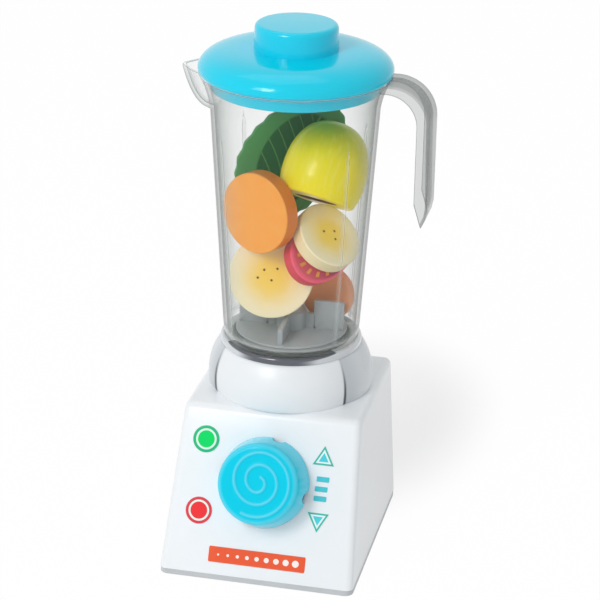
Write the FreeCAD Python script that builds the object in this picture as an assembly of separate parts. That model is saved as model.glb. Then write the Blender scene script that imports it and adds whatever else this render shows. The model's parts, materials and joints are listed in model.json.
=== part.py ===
import FreeCAD, Part
import math
import os

from FreeCAD import Placement, Rotation, Vector

# Toy blender: a tapered white base with a turning dial, a moulded collar, a clear jar with a
# finned rotor and wooden play food inside, and a domed lid. Turning the dial drives a pair of
# bevel gears, an upright shaft and a six-sided coupler, and the rotor turns twice as fast.
#
# Frame: millimetres. The origin is on the resting plane, on the axis of the jar. +Z is up,
# -Y is the front with the dial, -X is the spout and +X the handle.

# ------------------------------------------------------------------ driving sizes: base
FOOT_WIDTH = 114.0
TOP_WIDTH = 104.0
FOOT_FRONT = 86.0
TOP_FRONT = 47.0
BACK_REACH = 48.0
HOUSING_TOP = 92.0
PLATE_THICK = 3.4
WALL = 3.5
CORNER_R = 5.0
LIP_HEIGHT = 4.0
LIP_THICK = 2.0
SCREW_INSET = 8.0
SCREW_R = 1.5
SCREW_HEAD_R = 3.0
SCREW_HEAD_H = 1.8
SCREW_SUNK = 0.4
SCREW_SLOT = 0.8
SCREW_LENGTH = 11.0
BOSS_R = 4.5

# ------------------------------------------------------------------ driving sizes: dial
DIAL_RISE = 56.0
DIAL_REAR_R = 26.4
DIAL_FRONT_R = 23.4
DIAL_DEPTH = 21.0
DIAL_WALL = 2.4
DIAL_EDGE_R = 3.4
DIAL_GAP = 0.6
NOTCH_COUNT = 4
NOTCH_R = 3.4
NOTCH_FIRST = 77.0
RIDGE_START = 4.6
RIDGE_HALF_TURNS = 4
RIDGE_FOOT = 3.0
RIDGE_CROWN = 1.5
RIDGE_PROUD = 0.9
RIDGE_FIRST = 65.0
DIAL_SHAFT_R = 4.0
DIAL_HUB_R = 7.5
DIAL_HUB_BORE = 11.0
DIAL_BUSH_DEPTH = 12.0
DIAL_CLIP_R = 7.5

# ------------------------------------------------------------------ driving sizes: gears
GEAR_TEETH = 24
PINION_TEETH = 12
MODULE = 2.0
PRESSURE_ANGLE = 25.0
ADDENDUM = 0.8
DEDENDUM = 1.05
FACE_WIDTH = 8.0
BACKLASH = 0.36
RIM_UNDER = 3.0
GEAR_HUB_R = 8.0
GEAR_HUB_LENGTH = 12.0
PINION_HUB_LENGTH = 6.0
GEAR_SCREW_R = 1.5
GEAR_WASHER_R = 6.0
GEAR_WASHER_T = 1.0

# ------------------------------------------------------------------ driving sizes: upright drive
DRIVE_SHAFT_R = 3.0
POST_R = 6.5
POST_RISE = 12.5
POST_BORE = 9.0
POST_FOOT_R = 13.0
POST_FOOT_T = 3.0
POST_WEB = 2.0
BUSH_WALL = 3.0
BUSH_FLANGE_R = 9.5
BUSH_FLANGE_T = 1.5
BUSH_BOSS_WALL = 2.6
BUSH_DEPTH = 13.0
COUPLER_FLATS = 8.4
COUPLER_HEIGHT = 16.0
SOCKET_GRIP = 10.0
CLIP_R = 6.5
CLIP_T = 1.2
CLIP_GROOVE = 0.8
CLIP_LAP = 2.6

# ------------------------------------------------------------------ driving sizes: collar and seat
COLLAR_HEIGHT = 27.0
COLLAR_FOOT_R = 48.4
COLLAR_TOP_R = 41.6
COLLAR_WALL = 2.4
COLLAR_CURVE = 2.6
COLLAR_SWELL = 0.6
COLLAR_SHARES = (0, 0.25, 0.5, 0.75, 0.9, 1.0)
COLLAR_INNER_SHARES = (0.25, 0.5, 0.7)
FLANGE_ROOT_SHARE = 0.85
CREASE_ANGLE = 35.5
CREASE_DEPTH = 1.5
CREASE_FADE = 0.7
SEAT_HEIGHT = 3.9
SEAT_WIDTH = 6.4
SEAT_LAP = 0.6
FLANGE_T = 2.4
FLANGE_BORE_R = 35.6

# ------------------------------------------------------------------ driving sizes: jar
JAR_FOOT_R = 39.6
JAR_SHOULDER_R = 48.3
JAR_SHOULDER_H = 139.0
JAR_RIM_R = 54.75
JAR_HEIGHT = 158.5
FLARE_MID_DROP = 0.42
FLARE_MID_SPREAD = 0.44
JAR_WALL = 2.2
JAR_FLOOR = 2.2
SKIRT_R = 34.2
SKIRT_DEPTH = 13.0
JAR_BOSS_R = 11.5
JAR_BOSS_DEPTH = 10.0
RIB_WIDTH = 3.0
RIB_PROUD = 0.7
RIB_TOP = 124.0
RIB_POINT = 8.0
SPOUT_REACH = 65.7
SPOUT_HALF_WIDTH = 19.0
SPOUT_ROOT_DEPTH = 25.0
SPOUT_TIP_HALF_WIDTH = 1.2
SPOUT_TIP_DEPTH = 2.6
SPOUT_NARROWING = 1.5
SPOUT_RISING = 1.9

# ------------------------------------------------------------------ driving sizes: handle
HANDLE_OUTER_X = 79.3
HANDLE_DEPTH = 7.4
HANDLE_WIDTH = 28.0
HANDLE_WALL = 2.2
HANDLE_TOP_THICK = 4.8
HANDLE_ARC_R = 22.8
HANDLE_LENGTH = 82.0
HANDLE_BEVEL = 14.4

# ------------------------------------------------------------------ driving sizes: rotor
ROTOR_DISC_R = 32.6
ROTOR_DISC_T = 1.2
ROTOR_HUB_R = 9.0
ROTOR_STEM_R = 6.9
FIN_THICK = 3.0
TALL_FIN_R = 31.2
TALL_FIN_INNER_R = 13.5
TALL_FIN_HEIGHT = 17.6
LOW_FIN_R = 30.0
LOW_FIN_HEIGHT = 9.0
LOW_FIN_INNER_HEIGHT = 11.0
ROTOR_BUSH_WALL = 2.0

# ------------------------------------------------------------------ driving sizes: lid
LID_OVERHANG = 0.55
LID_RISE = 11.6
LID_WALL = 2.2
LID_SKIRT = 2.35
LID_CURVE = 4.0
LID_BLEND = 1.4
PLUG_DEPTH = 9.0
PLUG_DRAFT = 2.4
PLUG_GAP = 0.6
PLUG_STEEPNESS = 1.2
CAP_R = 24.2
CAP_TOP_R = 23.5
CAP_HEIGHT = 14.4
CAP_EDGE_R = 2.4
CAP_WALL = 2.2
CAP_PLUG_DEPTH = 4.0
CAP_PLUG_WALL = 1.8

# ------------------------------------------------------------------ driving sizes: stickers
STICKER_T = 0.25
DOT_R = 8.1
DOT_X = -36.9
GO_RISE = 77.0
STOP_RISE = 35.6
ARROW_X = 33.0
ARROW_SIDE = 14.2
ARROW_HEIGHT = 12.0
UP_ARROW_RISE = 75.6
DOWN_ARROW_RISE = 36.2
BAR_SIZE = (7.4, 3.0)
BAR_RISES = (50.4, 55.9, 61.6)
BAR_CENTRES_X = (33.1, 33.2, 33.7)
LABEL_SIZE = (57.0, 10.0)
LABEL_RISE = 11.6

# ------------------------------------------------------------------ driving sizes: play food
ORANGE_R = 23.4
ORANGE_T = 10.5
BANANA_R = 24.5
BANANA_T = 9.5
SMALL_BANANA_R = 20.0
SMALL_BANANA_T = 9.0
PEAR_R = 21.6
PEAR_BELLY_R = 24.4
PEAR_BELLY = 13.0
PEAR_HEIGHT = 46.0
PEAR_BLUNT = 0.85
PEAR_POCKET = (13.0, 6.5, 2.0)
STRAWBERRY_LENGTH = 47.0
STRAWBERRY_WIDTH = 30.0
STRAWBERRY_T = 8.0
STRAWBERRY_TAPER = 0.32
PEACH_R = 16.4
PEACH_T = 6.0
LEAF_SIZE = (40.6, 27.0)
LEAF_T = 3.6
LEAF_TEETH = 26
LEAF_TOOTH = 1.0
FOOD_EDGE = 0.8

# ------------------------------------------------------------------ places of the play food
# Middle of each piece's face as x, y and height above the jar's floor, and the turn and the rise
# of the way it faces, in degrees.
ORANGE_AT = (-17.8, -22.3, 77.5)
ORANGE_TURN = (-25.0, 3.0)
BANANA_AT = (-9.6, -13.7, 36.7)
BANANA_TURN = (8.0, 16.0)
SMALL_BANANA_AT = (23.9, -10.0, 64.5)
SMALL_BANANA_TURN = (58.0, 44.0)
STRAWBERRY_AT = (20.25, -7.1, 50.9)
STRAWBERRY_TURN = (51.8, 30.3)
STRAWBERRY_SPIN = -2.2
PEACH_AT = (17.6, 11.5, 18.3)
PEACH_TURN = (-14.0, 4.0)
PEAR_AT = (14.1, -4.6, 82.8)
PEAR_TURN = (-22.0, -60.0)
LEAF_AT = (-4.8, 22.3, 96.6)
LEAF_TURN = (20.0, 0.0)
LEAF_SPIN = 60.0

# ------------------------------------------------------------------ clearances
RUN = 0.06      # radial running clearance of a shaft in its bush
FIT = 0.02      # radial clearance of pieces fixed to each other
REST = 0.3      # gap between pieces of different bodies that rest on each other
SLIP = 0.4      # radial clearance of pieces that lift apart
END_FLOAT = 0.3
OVERRUN = 1.0   # length that a cutter runs past what it cuts, or a screw stops short of its hole

# ------------------------------------------------------------------ derived places
COLLAR_TOP = HOUSING_TOP + COLLAR_HEIGHT
SEAT_TOP = COLLAR_TOP + SEAT_HEIGHT
JAR_BOTTOM = SEAT_TOP + REST
FLOOR_TOP = JAR_BOTTOM + JAR_FLOOR
JAR_RIM_Z = JAR_BOTTOM + JAR_HEIGHT
LID_SEAT = JAR_RIM_Z + REST
LID_R = JAR_RIM_R + LID_OVERHANG
LID_EDGE_Z = LID_SEAT + LID_SKIRT
DISC_TOP = FLOOR_TOP + REST + ROTOR_DISC_T

FACE_RUN = FOOT_FRONT - TOP_FRONT
FACE_DROP = HOUSING_TOP - PLATE_THICK
FACE_LENGTH = math.hypot(FACE_RUN, FACE_DROP)
FACE_UP = Vector(0, FACE_RUN / FACE_LENGTH, FACE_DROP / FACE_LENGTH)
FACE_NORMAL = Vector(0, -FACE_UP.z, FACE_UP.y)
FACE_FOOT = Vector(0, -FOOT_FRONT, PLATE_THICK)
DIAL_CENTRE = FACE_FOOT + FACE_UP * DIAL_RISE

# The dial's axis runs inwards along -FACE_NORMAL and meets the jar's axis at the apex of both
# pitch cones.
APEX_REACH = -DIAL_CENTRE.y / FACE_UP.z
APEX_Z = DIAL_CENTRE.z - APEX_REACH * FACE_UP.y
SHAFT_ANGLE = math.acos(FACE_NORMAL.z)
GEAR_CONE = math.atan2(math.sin(SHAFT_ANGLE), PINION_TEETH / GEAR_TEETH + math.cos(SHAFT_ANGLE))
PINION_CONE = SHAFT_ANGLE - GEAR_CONE
CONE_DISTANCE = MODULE * GEAR_TEETH / 2 / math.sin(GEAR_CONE)


# ------------------------------------------------------------------ shape helpers
def arc(start, middle, end):
    """Edge of the circular arc through three points."""
    return Part.Arc(start, middle, end).toShape()


def line(start, end):
    """Straight edge between two points."""
    return Part.LineSegment(start, end).toShape()


def polar(radius, degrees, z):
    """Point at a radius and an azimuth from +X."""
    angle = math.radians(degrees)
    return Vector(radius * math.cos(angle), radius * math.sin(angle), z)


def polygon_face(points):
    """Flat face inside a closed chain of points."""
    return Part.Face(Part.makePolygon(list(points) + [points[0]]))


def turned(profile):
    """Solid turned about +Z from (radius, height) points, all in order round the section."""
    face = polygon_face([Vector(r, 0, z) for r, z in profile])
    return face.revolve(Vector(0, 0, 0), Vector(0, 0, 1), 360)


def turned_edges(edges):
    """Solid turned about +Z from the edges of a closed section in the XZ plane."""
    face = Part.Face(Part.Wire(Part.__sortEdges__(edges)))
    return face.revolve(Vector(0, 0, 0), Vector(0, 0, 1), 360)


def ring(inner, outer, low, high):
    """Plain ring about +Z."""
    return turned([(inner, low), (outer, low), (outer, high), (inner, high)])


def rod(radius, low, high):
    """Plain round rod on the Z axis."""
    return Part.makeCylinder(radius, high - low, Vector(0, 0, low))


def fused(shapes):
    """One solid out of pieces that touch, with the seams between flat faces removed."""
    shape = shapes[0].fuse(shapes[1:]) if len(shapes) > 1 else shapes[0]
    return shape.removeSplitter()


def placed(shape, placement):
    """Copy of a shape at a placement."""
    copy = shape.copy()
    copy.Placement = placement.multiply(copy.Placement)
    return copy


def face_place(x, rise, out=0.0):
    """Placement on the front face: local X along +X, local Y up the face, local Z outwards."""
    origin = FACE_FOOT + FACE_UP * rise + Vector(x, 0, 0) + FACE_NORMAL * out
    return Placement(origin, Rotation(Vector(1, 0, 0), FACE_UP, FACE_NORMAL, "ZXY"))


def dial_place(out=0.0):
    """Placement on the dial's axis, out from the front face."""
    return face_place(0.0, DIAL_RISE, out)


def apex_place():
    """Placement at the gears' apex, with local Z out along the dial's axis."""
    return dial_place(-APEX_REACH)


def clip_groove(shaft_r, high):
    """Ring-shaped cutter for a clip's groove, under a height on the Z axis."""
    return ring(shaft_r - CLIP_GROOVE, shaft_r + CLIP_GROOVE, high - CLIP_T, high)


def open_clip(shaft_r, outer_r, high):
    """Retaining ring with a slot on its +X side, for a groove in a shaft."""
    clip = ring(shaft_r - CLIP_GROOVE + FIT, outer_r, high - CLIP_T + FIT, high - FIT)
    slot = Part.makeBox(2 * outer_r, shaft_r, 2 * CLIP_T, Vector(0, -shaft_r / 2, high - 1.5 * CLIP_T))
    return clip.cut(slot)


def hexagon(across_flats, low, high):
    """Six-sided bar on the Z axis."""
    corner = across_flats / math.sqrt(3)
    points = []
    for i in range(6):
        angle = math.radians(60 * i)
        points.append(Vector(corner * math.cos(angle), corner * math.sin(angle), low))
    return polygon_face(points).extrude(Vector(0, 0, high - low))


# ------------------------------------------------------------------ base housing
def side_x(z):
    """Half width of the housing at a height."""
    share = (z - PLATE_THICK) / FACE_DROP
    return (FOOT_WIDTH + (TOP_WIDTH - FOOT_WIDTH) * share) / 2


def front_y(z):
    """Y of the leaning front face at a height."""
    return -FOOT_FRONT + FACE_RUN * (z - PLATE_THICK) / FACE_DROP


def frustum(low, high, inset):
    """Tapered block of the housing between two heights, with its sides moved in by inset."""
    side_in = inset / math.cos(math.atan2((FOOT_WIDTH - TOP_WIDTH) / 2, FACE_DROP))
    front_in = inset / FACE_UP.z
    outlines = []
    for z in (low, high):
        half = side_x(z) - side_in
        front = front_y(z) + front_in
        back = BACK_REACH - inset
        corners = [Vector(x, y, z) for x, y in ((-half, front), (half, front), (half, back), (-half, back))]
        outlines.append(Part.makePolygon(corners + [corners[0]]))
    return Part.makeLoft(outlines, True, True)


def upright_edges(shape):
    """Edges that run up the corners of a frustum."""
    return [e for e in shape.Edges if abs(e.Vertexes[0].Z - e.Vertexes[1].Z) > 1]


def top_edges(shape, z):
    """Edges that lie at a height."""
    return [e for e in shape.Edges if all(abs(v.Z - z) < 1e-6 for v in e.Vertexes)]


def screw_places():
    """The four plate screws, inside the housing's corners."""
    front = front_y(PLATE_THICK) + SCREW_INSET
    back = BACK_REACH - SCREW_INSET
    half = side_x(PLATE_THICK) - SCREW_INSET
    return [Vector(x, y, 0) for x in (-half, half) for y in (front, back)]


def make_base_housing():
    """Tapered shell with a bushed front wall, screw bosses and a bearing boss under its top."""
    outer = frustum(PLATE_THICK, HOUSING_TOP, 0)
    outer = outer.makeFillet(CORNER_R, upright_edges(outer) + top_edges(outer, HOUSING_TOP))
    inner = frustum(PLATE_THICK - OVERRUN, HOUSING_TOP - WALL, WALL)
    inner = inner.makeFillet(CORNER_R - WALL / 2, upright_edges(inner))
    shell = outer.cut(inner)
    bosses = []
    for place in screw_places():
        length = SCREW_LENGTH + SCREW_R
        boss = Part.makeCylinder(BOSS_R, length, place + Vector(0, 0, PLATE_THICK))
        bosses.append(boss.common(outer))
    boss_r = DRIVE_SHAFT_R + RUN + BUSH_WALL + FIT + BUSH_BOSS_WALL
    bosses.append(rod(boss_r, HOUSING_TOP - BUSH_DEPTH, HOUSING_TOP - WALL / 2))
    front_boss = rod(dial_bush_r() + FIT + BUSH_BOSS_WALL, -DIAL_BUSH_DEPTH, -WALL / 2)
    bosses.append(placed(front_boss, dial_place()))
    shell = fused([shell] + bosses)
    holes = [rod(DRIVE_SHAFT_R + RUN + BUSH_WALL + FIT, 0, HOUSING_TOP + OVERRUN)]
    holes.append(placed(rod(dial_bush_r() + FIT, -APEX_REACH / 2, 1), dial_place()))
    for place in screw_places():
        hole = Part.makeCylinder(SCREW_R, SCREW_LENGTH + OVERRUN, place)
        holes.append(hole)
    return shell.cut(holes[0]).cut(holes[1]).cut(Part.makeCompound(holes[2:]))


def make_bottom_plate():
    """Grey floor plate with a locating lip and countersunk screw holes."""
    corners = []
    half = FOOT_WIDTH / 2
    for x, y in ((-half, -FOOT_FRONT), (half, -FOOT_FRONT), (half, BACK_REACH), (-half, BACK_REACH)):
        corners.append(Vector(x, y, 0))
    plate = polygon_face(corners).extrude(Vector(0, 0, PLATE_THICK))
    plate = plate.makeFillet(CORNER_R, upright_edges(plate))
    lip_out = frustum(PLATE_THICK - LIP_THICK, PLATE_THICK + LIP_HEIGHT, WALL + REST)
    lip_out = lip_out.makeFillet(CORNER_R - WALL / 2, upright_edges(lip_out))
    lip_in = frustum(PLATE_THICK, PLATE_THICK + LIP_HEIGHT + OVERRUN, WALL + REST + LIP_THICK)
    shape = plate.fuse(lip_out.cut(lip_in))
    cuts = []
    for place in screw_places():
        cuts.append(Part.makeCylinder(SCREW_R + REST, PLATE_THICK + LIP_HEIGHT, place))
        cuts.append(Part.makeCylinder(SCREW_HEAD_R + REST, SCREW_SUNK + SCREW_HEAD_H, place))
        on_plate = place + Vector(0, 0, PLATE_THICK)
        cuts.append(Part.makeCylinder(BOSS_R + REST, LIP_HEIGHT + OVERRUN, on_plate))
    return shape.cut(Part.makeCompound(cuts)).removeSplitter()


def make_plate_screws():
    """Four screws that hold the plate, with flat heads let into it."""
    screws = []
    for place in screw_places():
        under = place + Vector(0, 0, SCREW_SUNK)
        head = Part.makeCylinder(SCREW_HEAD_R, SCREW_HEAD_H, under)
        stem = Part.makeCylinder(SCREW_R - FIT, SCREW_LENGTH, under)
        corner = under - Vector(SCREW_HEAD_R, SCREW_SLOT / 2, 0)
        slot = Part.makeBox(2 * SCREW_HEAD_R, SCREW_SLOT, SCREW_SLOT, corner)
        screws.append(fused([head, stem]).cut(slot))
    return Part.makeCompound(screws)


# ------------------------------------------------------------------ bevel gears
def tooth_outline(teeth, cone):
    """Half outline of one tooth on the back cone: (angle about the axis, slant radius) pairs.

    The back cone is unrolled flat, where the tooth is an involute of a spur gear of pitch
    radius r / cos(cone).
    """
    pitch = MODULE * teeth / 2 / math.cos(cone)
    pressure = math.radians(PRESSURE_ANGLE)
    base = pitch * math.cos(pressure)
    root = pitch - DEDENDUM * MODULE
    tip = pitch + ADDENDUM * MODULE
    half_pitch_angle = (math.pi * MODULE / 2 - BACKLASH / 2) / 2 / pitch
    involute_at_pitch = math.tan(pressure) - pressure
    start = max(base, root)
    outline = [(half_pitch_angle + involute_at_pitch, root)] if root < base else []
    for i in range(4):
        slant = start + (tip - start) * i / 3
        roll = math.acos(min(1.0, base / slant))
        outline.append((half_pitch_angle + involute_at_pitch - (math.tan(roll) - roll), slant))
    return [(angle / math.cos(cone), slant) for angle, slant in outline]


def gear_wire(teeth, cone, phase, height):
    """Closed gear outline in the plane at a height above the apex, along rays from the apex."""
    points = []
    half = tooth_outline(teeth, cone)
    back_apex = CONE_DISTANCE / math.cos(cone)
    for i in range(teeth):
        centre = phase + 2 * math.pi * i / teeth
        rising = [(centre - angle, slant) for angle, slant in half]
        falling = [(centre + angle, slant) for angle, slant in reversed(half)]
        for azimuth, slant in rising + falling:
            along = back_apex - slant * math.sin(cone)
            radius = slant * math.cos(cone) * height / along
            points.append(Vector(radius * math.cos(azimuth), radius * math.sin(azimuth), height))
    return Part.makePolygon(points + [points[0]])


def bevel_teeth(teeth, cone, phase):
    """Toothed ring between the two ends of the face width, with its apex at the origin."""
    inner = CONE_DISTANCE - FACE_WIDTH
    far = (CONE_DISTANCE + 2 * MODULE) * math.cos(cone)
    near = (inner - 2 * MODULE) * math.cos(cone)
    outlines = [gear_wire(teeth, cone, phase, height) for height in (near, far)]
    body = Part.makeLoft(outlines, True, True)
    along = Vector(math.sin(cone), 0, math.cos(cone))
    across = Vector(math.cos(cone), 0, -math.sin(cone))
    corners = []
    for slant, reach in ((inner, 2 * MODULE), (CONE_DISTANCE, 2 * MODULE)):
        corners.append(along * slant + across * reach)
    for slant in (CONE_DISTANCE, inner):
        corners.append(along * slant - across * (DEDENDUM * MODULE + RIM_UNDER))
    section = polygon_face(corners)
    return body.common(section.revolve(Vector(0, 0, 0), Vector(0, 0, 1), 360))


def rim_point(cone, slant, under):
    """(radius, height) of a point under the pitch line at a slant distance from the apex."""
    radius = slant * math.sin(cone) - under * math.cos(cone)
    return radius, slant * math.cos(cone) + under * math.sin(cone)


def make_bevel_gear():
    """Large gear on the dial shaft, with a dished web and a hub towards the dial."""
    teeth = bevel_teeth(GEAR_TEETH, GEAR_CONE, math.pi / 2)
    under = DEDENDUM * MODULE + RIM_UNDER
    inner = rim_point(GEAR_CONE, CONE_DISTANCE - FACE_WIDTH, under - RIM_UNDER / 2)
    outer = rim_point(GEAR_CONE, CONE_DISTANCE, under - RIM_UNDER / 2)
    low = inner[1]
    high = outer[1]
    web = turned([(0, low), (inner[0], low), (outer[0], high), (GEAR_HUB_R, high), (0, high)])
    hub = rod(GEAR_HUB_R, low, high + GEAR_HUB_LENGTH)
    gear = fused([teeth, web, hub])
    bore = rod(DIAL_SHAFT_R + FIT, low - OVERRUN, high + GEAR_HUB_LENGTH + OVERRUN)
    return placed(gear.cut(bore), apex_place())


def make_bevel_pinion():
    """Small gear on the upright shaft, with its hub above the teeth."""
    teeth = bevel_teeth(PINION_TEETH, PINION_CONE, -math.pi / 2 + math.pi / PINION_TEETH)
    under = DEDENDUM * MODULE + RIM_UNDER
    inner = rim_point(PINION_CONE, CONE_DISTANCE - FACE_WIDTH, under - RIM_UNDER / 2)
    outer = rim_point(PINION_CONE, CONE_DISTANCE, under - RIM_UNDER / 2)
    core = turned([(0, inner[1]), (inner[0], inner[1]), (outer[0], outer[1]), (0, outer[1])])
    hub = rod(outer[0] - FIT, outer[1], outer[1] + PINION_HUB_LENGTH)
    gear = fused([teeth, core, hub])
    gear = gear.cut(rod(DRIVE_SHAFT_R + FIT, inner[1] - OVERRUN, outer[1] + PINION_HUB_LENGTH + OVERRUN))
    gear.translate(Vector(0, 0, APEX_Z))
    return gear


def gear_front():
    """Height above the apex of the large gear's flat inner end."""
    return rim_point(GEAR_CONE, CONE_DISTANCE - FACE_WIDTH, DEDENDUM * MODULE + RIM_UNDER / 2)[1]


# ------------------------------------------------------------------ dial and its shaft
def dial_bush_r():
    """Outer radius of the dial shaft's bush."""
    return DIAL_SHAFT_R + RUN + BUSH_WALL


def make_dial_bush():
    """Flanged bush in the front wall."""
    bore = DIAL_SHAFT_R + RUN
    flange_r = dial_bush_r() + BUSH_BOSS_WALL
    sleeve = ring(bore, dial_bush_r(), -DIAL_BUSH_DEPTH, 0)
    flange = ring(bore, flange_r, -DIAL_BUSH_DEPTH - BUSH_FLANGE_T, -DIAL_BUSH_DEPTH)
    return placed(fused([sleeve, flange]), dial_place())


def make_dial_shaft():
    """Steel shaft from the gear to the dial, with a groove for its clip."""
    groove_out = -DIAL_BUSH_DEPTH - BUSH_FLANGE_T - END_FLOAT
    start = gear_front() - APEX_REACH
    shaft = rod(DIAL_SHAFT_R, start, DIAL_GAP + DIAL_HUB_BORE)
    groove = clip_groove(DIAL_SHAFT_R, groove_out)
    tapped = rod(GEAR_SCREW_R, start - OVERRUN, start + SCREW_LENGTH / 2)
    return placed(shaft.cut(groove).cut(tapped), dial_place())


def make_dial_clip():
    """Retaining ring in the dial shaft's groove, behind the bush."""
    high = -DIAL_BUSH_DEPTH - BUSH_FLANGE_T - END_FLOAT
    return placed(open_clip(DIAL_SHAFT_R, DIAL_CLIP_R, high), dial_place())


def make_gear_screw():
    """Screw and washer that hold the large gear on its shaft."""
    end = gear_front() - APEX_REACH
    washer = rod(GEAR_WASHER_R, end - GEAR_WASHER_T, end)
    stem = rod(GEAR_SCREW_R - FIT, end, end + SCREW_LENGTH / 2 - OVERRUN)
    head = rod(SCREW_HEAD_R, end - GEAR_WASHER_T - SCREW_HEAD_H, end - GEAR_WASHER_T)
    return placed(fused([washer, stem, head]), dial_place())


def ridge_ring(radius, sweep, face):
    """Raised ring with sloping sides on the dial's face, swept anticlockwise from +X."""
    foot = RIDGE_FOOT / 2
    crown = RIDGE_CROWN / 2
    sunk = face - RIDGE_PROUD
    high = face + RIDGE_PROUD
    outline = [(-foot, sunk), (foot, sunk), (foot, face), (crown, high), (-crown, high), (-foot, face)]
    section = polygon_face([Vector(radius + across, 0, z) for across, z in outline])
    return section.revolve(Vector(0, 0, 0), Vector(0, 0, 1), sweep)


def spiral_ridge(face):
    """Raised spiral that winds out clockwise into a full ring at the edge of the face.

    Its half rings have two centres in turn, one step apart, so each is one step wider.
    """
    last = DIAL_FRONT_R - DIAL_EDGE_R - RIDGE_FOOT / 2
    step = (last - RIDGE_START) / RIDGE_HALF_TURNS
    aside = polar(step, RIDGE_FIRST, 0)
    tip = Part.makeCone(RIDGE_FOOT / 2, RIDGE_CROWN / 2, RIDGE_PROUD, polar(RIDGE_START, RIDGE_FIRST, face))
    pieces = [ridge_ring(last, 360, face), tip]
    for i in range(RIDGE_HALF_TURNS):
        half = ridge_ring(RIDGE_START + step * i, 180, face)
        half.rotate(Vector(0, 0, 0), Vector(0, 0, 1), RIDGE_FIRST - 180 * (i + 1))
        if i % 2:
            half.translate(aside)
        pieces.append(half)
    return pieces


def make_dial_knob():
    """Cup-shaped dial with a rounded front edge, a hub and rear notches in its skirt."""
    low = DIAL_GAP
    high = DIAL_GAP + DIAL_DEPTH
    edge = DIAL_EDGE_R
    inner_high = high - DIAL_WALL
    mid = edge * (1 - math.sqrt(0.5))
    edges = [
        line(Vector(DIAL_REAR_R, 0, low), Vector(DIAL_FRONT_R, 0, high - edge)),
        arc(Vector(DIAL_FRONT_R, 0, high - edge), Vector(DIAL_FRONT_R - mid, 0, high - mid),
            Vector(DIAL_FRONT_R - edge, 0, high)),
        line(Vector(DIAL_FRONT_R - edge, 0, high), Vector(0, 0, high)),
        line(Vector(0, 0, high), Vector(0, 0, inner_high)),
        line(Vector(0, 0, inner_high), Vector(DIAL_FRONT_R - edge, 0, inner_high)),
        line(Vector(DIAL_FRONT_R - edge, 0, inner_high), Vector(DIAL_REAR_R - DIAL_WALL, 0, low)),
        line(Vector(DIAL_REAR_R - DIAL_WALL, 0, low), Vector(DIAL_REAR_R, 0, low)),
    ]
    cup = turned_edges(edges)
    hub = rod(DIAL_HUB_R, low, inner_high)
    knob = cup.fuse([hub]).cut(rod(DIAL_SHAFT_R + FIT, low - OVERRUN, low + DIAL_HUB_BORE))
    notches = []
    for i in range(NOTCH_COUNT):
        root = Vector(DIAL_REAR_R - 2 * DIAL_WALL, 0, low)
        notch = Part.makeCylinder(NOTCH_R, 3 * DIAL_WALL, root, Vector(1, 0, 0))
        notch.rotate(Vector(0, 0, 0), Vector(0, 0, 1), NOTCH_FIRST + 360 / NOTCH_COUNT * i)
        notches.append(notch)
    knob = knob.cut(Part.makeCompound(notches))
    return placed(knob.fuse(spiral_ridge(high)), dial_place())


# ------------------------------------------------------------------ upright drive
def post_top():
    """Height of the lower bearing's top, under the pinion."""
    return APEX_Z + POST_RISE


def make_bearing_post():
    """Post on the floor plate with a blind bore that carries the upright shaft."""
    column = rod(POST_R, PLATE_THICK, post_top())
    foot = rod(POST_FOOT_R, PLATE_THICK, PLATE_THICK + POST_FOOT_T)
    webs = []
    web_top = post_top() - POST_BORE
    outline = [(0, PLATE_THICK), (POST_FOOT_R, PLATE_THICK), (POST_FOOT_R, PLATE_THICK + POST_FOOT_T),
               (POST_R / 2, web_top), (0, web_top)]
    for angle in (45, 135, 225, 315):
        section = polygon_face([Vector(x, -POST_WEB / 2, z) for x, z in outline])
        web = section.extrude(Vector(0, POST_WEB, 0))
        web.rotate(Vector(0, 0, 0), Vector(0, 0, 1), angle)
        webs.append(web)
    post = fused([column, foot] + webs)
    return post.cut(rod(DRIVE_SHAFT_R + RUN, post_top() - POST_BORE, post_top() + OVERRUN))


def bush_top():
    """Top of the upper bush's flange, on the housing."""
    return HOUSING_TOP + BUSH_FLANGE_T


def make_shaft_bush():
    """Flanged bush in the top of the housing."""
    bore = DRIVE_SHAFT_R + RUN
    sleeve = ring(bore, bore + BUSH_WALL, HOUSING_TOP - BUSH_DEPTH, HOUSING_TOP)
    flange = ring(bore, BUSH_FLANGE_R, HOUSING_TOP, bush_top())
    return fused([sleeve, flange])


def coupler_low():
    """Bottom of the coupler, just above the bush."""
    return bush_top() + END_FLOAT


def make_drive_shaft():
    """Steel shaft from the lower bearing up into the coupler, with a groove for its clip."""
    low = post_top() - POST_BORE + END_FLOAT
    shaft = rod(DRIVE_SHAFT_R, low, coupler_low() + COUPLER_HEIGHT - BUSH_WALL)
    groove_top = HOUSING_TOP - BUSH_DEPTH - END_FLOAT
    return shaft.cut(clip_groove(DRIVE_SHAFT_R, groove_top))


def make_drive_clip():
    """Retaining ring in the upright shaft's groove, under the upper bush."""
    return open_clip(DRIVE_SHAFT_R, CLIP_R, HOUSING_TOP - BUSH_DEPTH - END_FLOAT)


def make_drive_coupler():
    """Six-sided driver on the upright shaft, with a pointed top that finds the socket."""
    low = coupler_low()
    top = low + COUPLER_HEIGHT
    collar = rod(COUPLER_FLATS / 2 + BUSH_WALL / 2, low, low + BUSH_FLANGE_T)
    bar = hexagon(COUPLER_FLATS, low, top)
    lead = turned([(0, low), (COUPLER_FLATS, low), (COUPLER_FLATS, top - BUSH_WALL),
                   (COUPLER_FLATS / 2 - BUSH_WALL / 2, top), (0, top)])
    coupler = fused([bar.common(lead), collar])
    return coupler.cut(rod(DRIVE_SHAFT_R + FIT, low - OVERRUN, top - BUSH_WALL))


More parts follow.
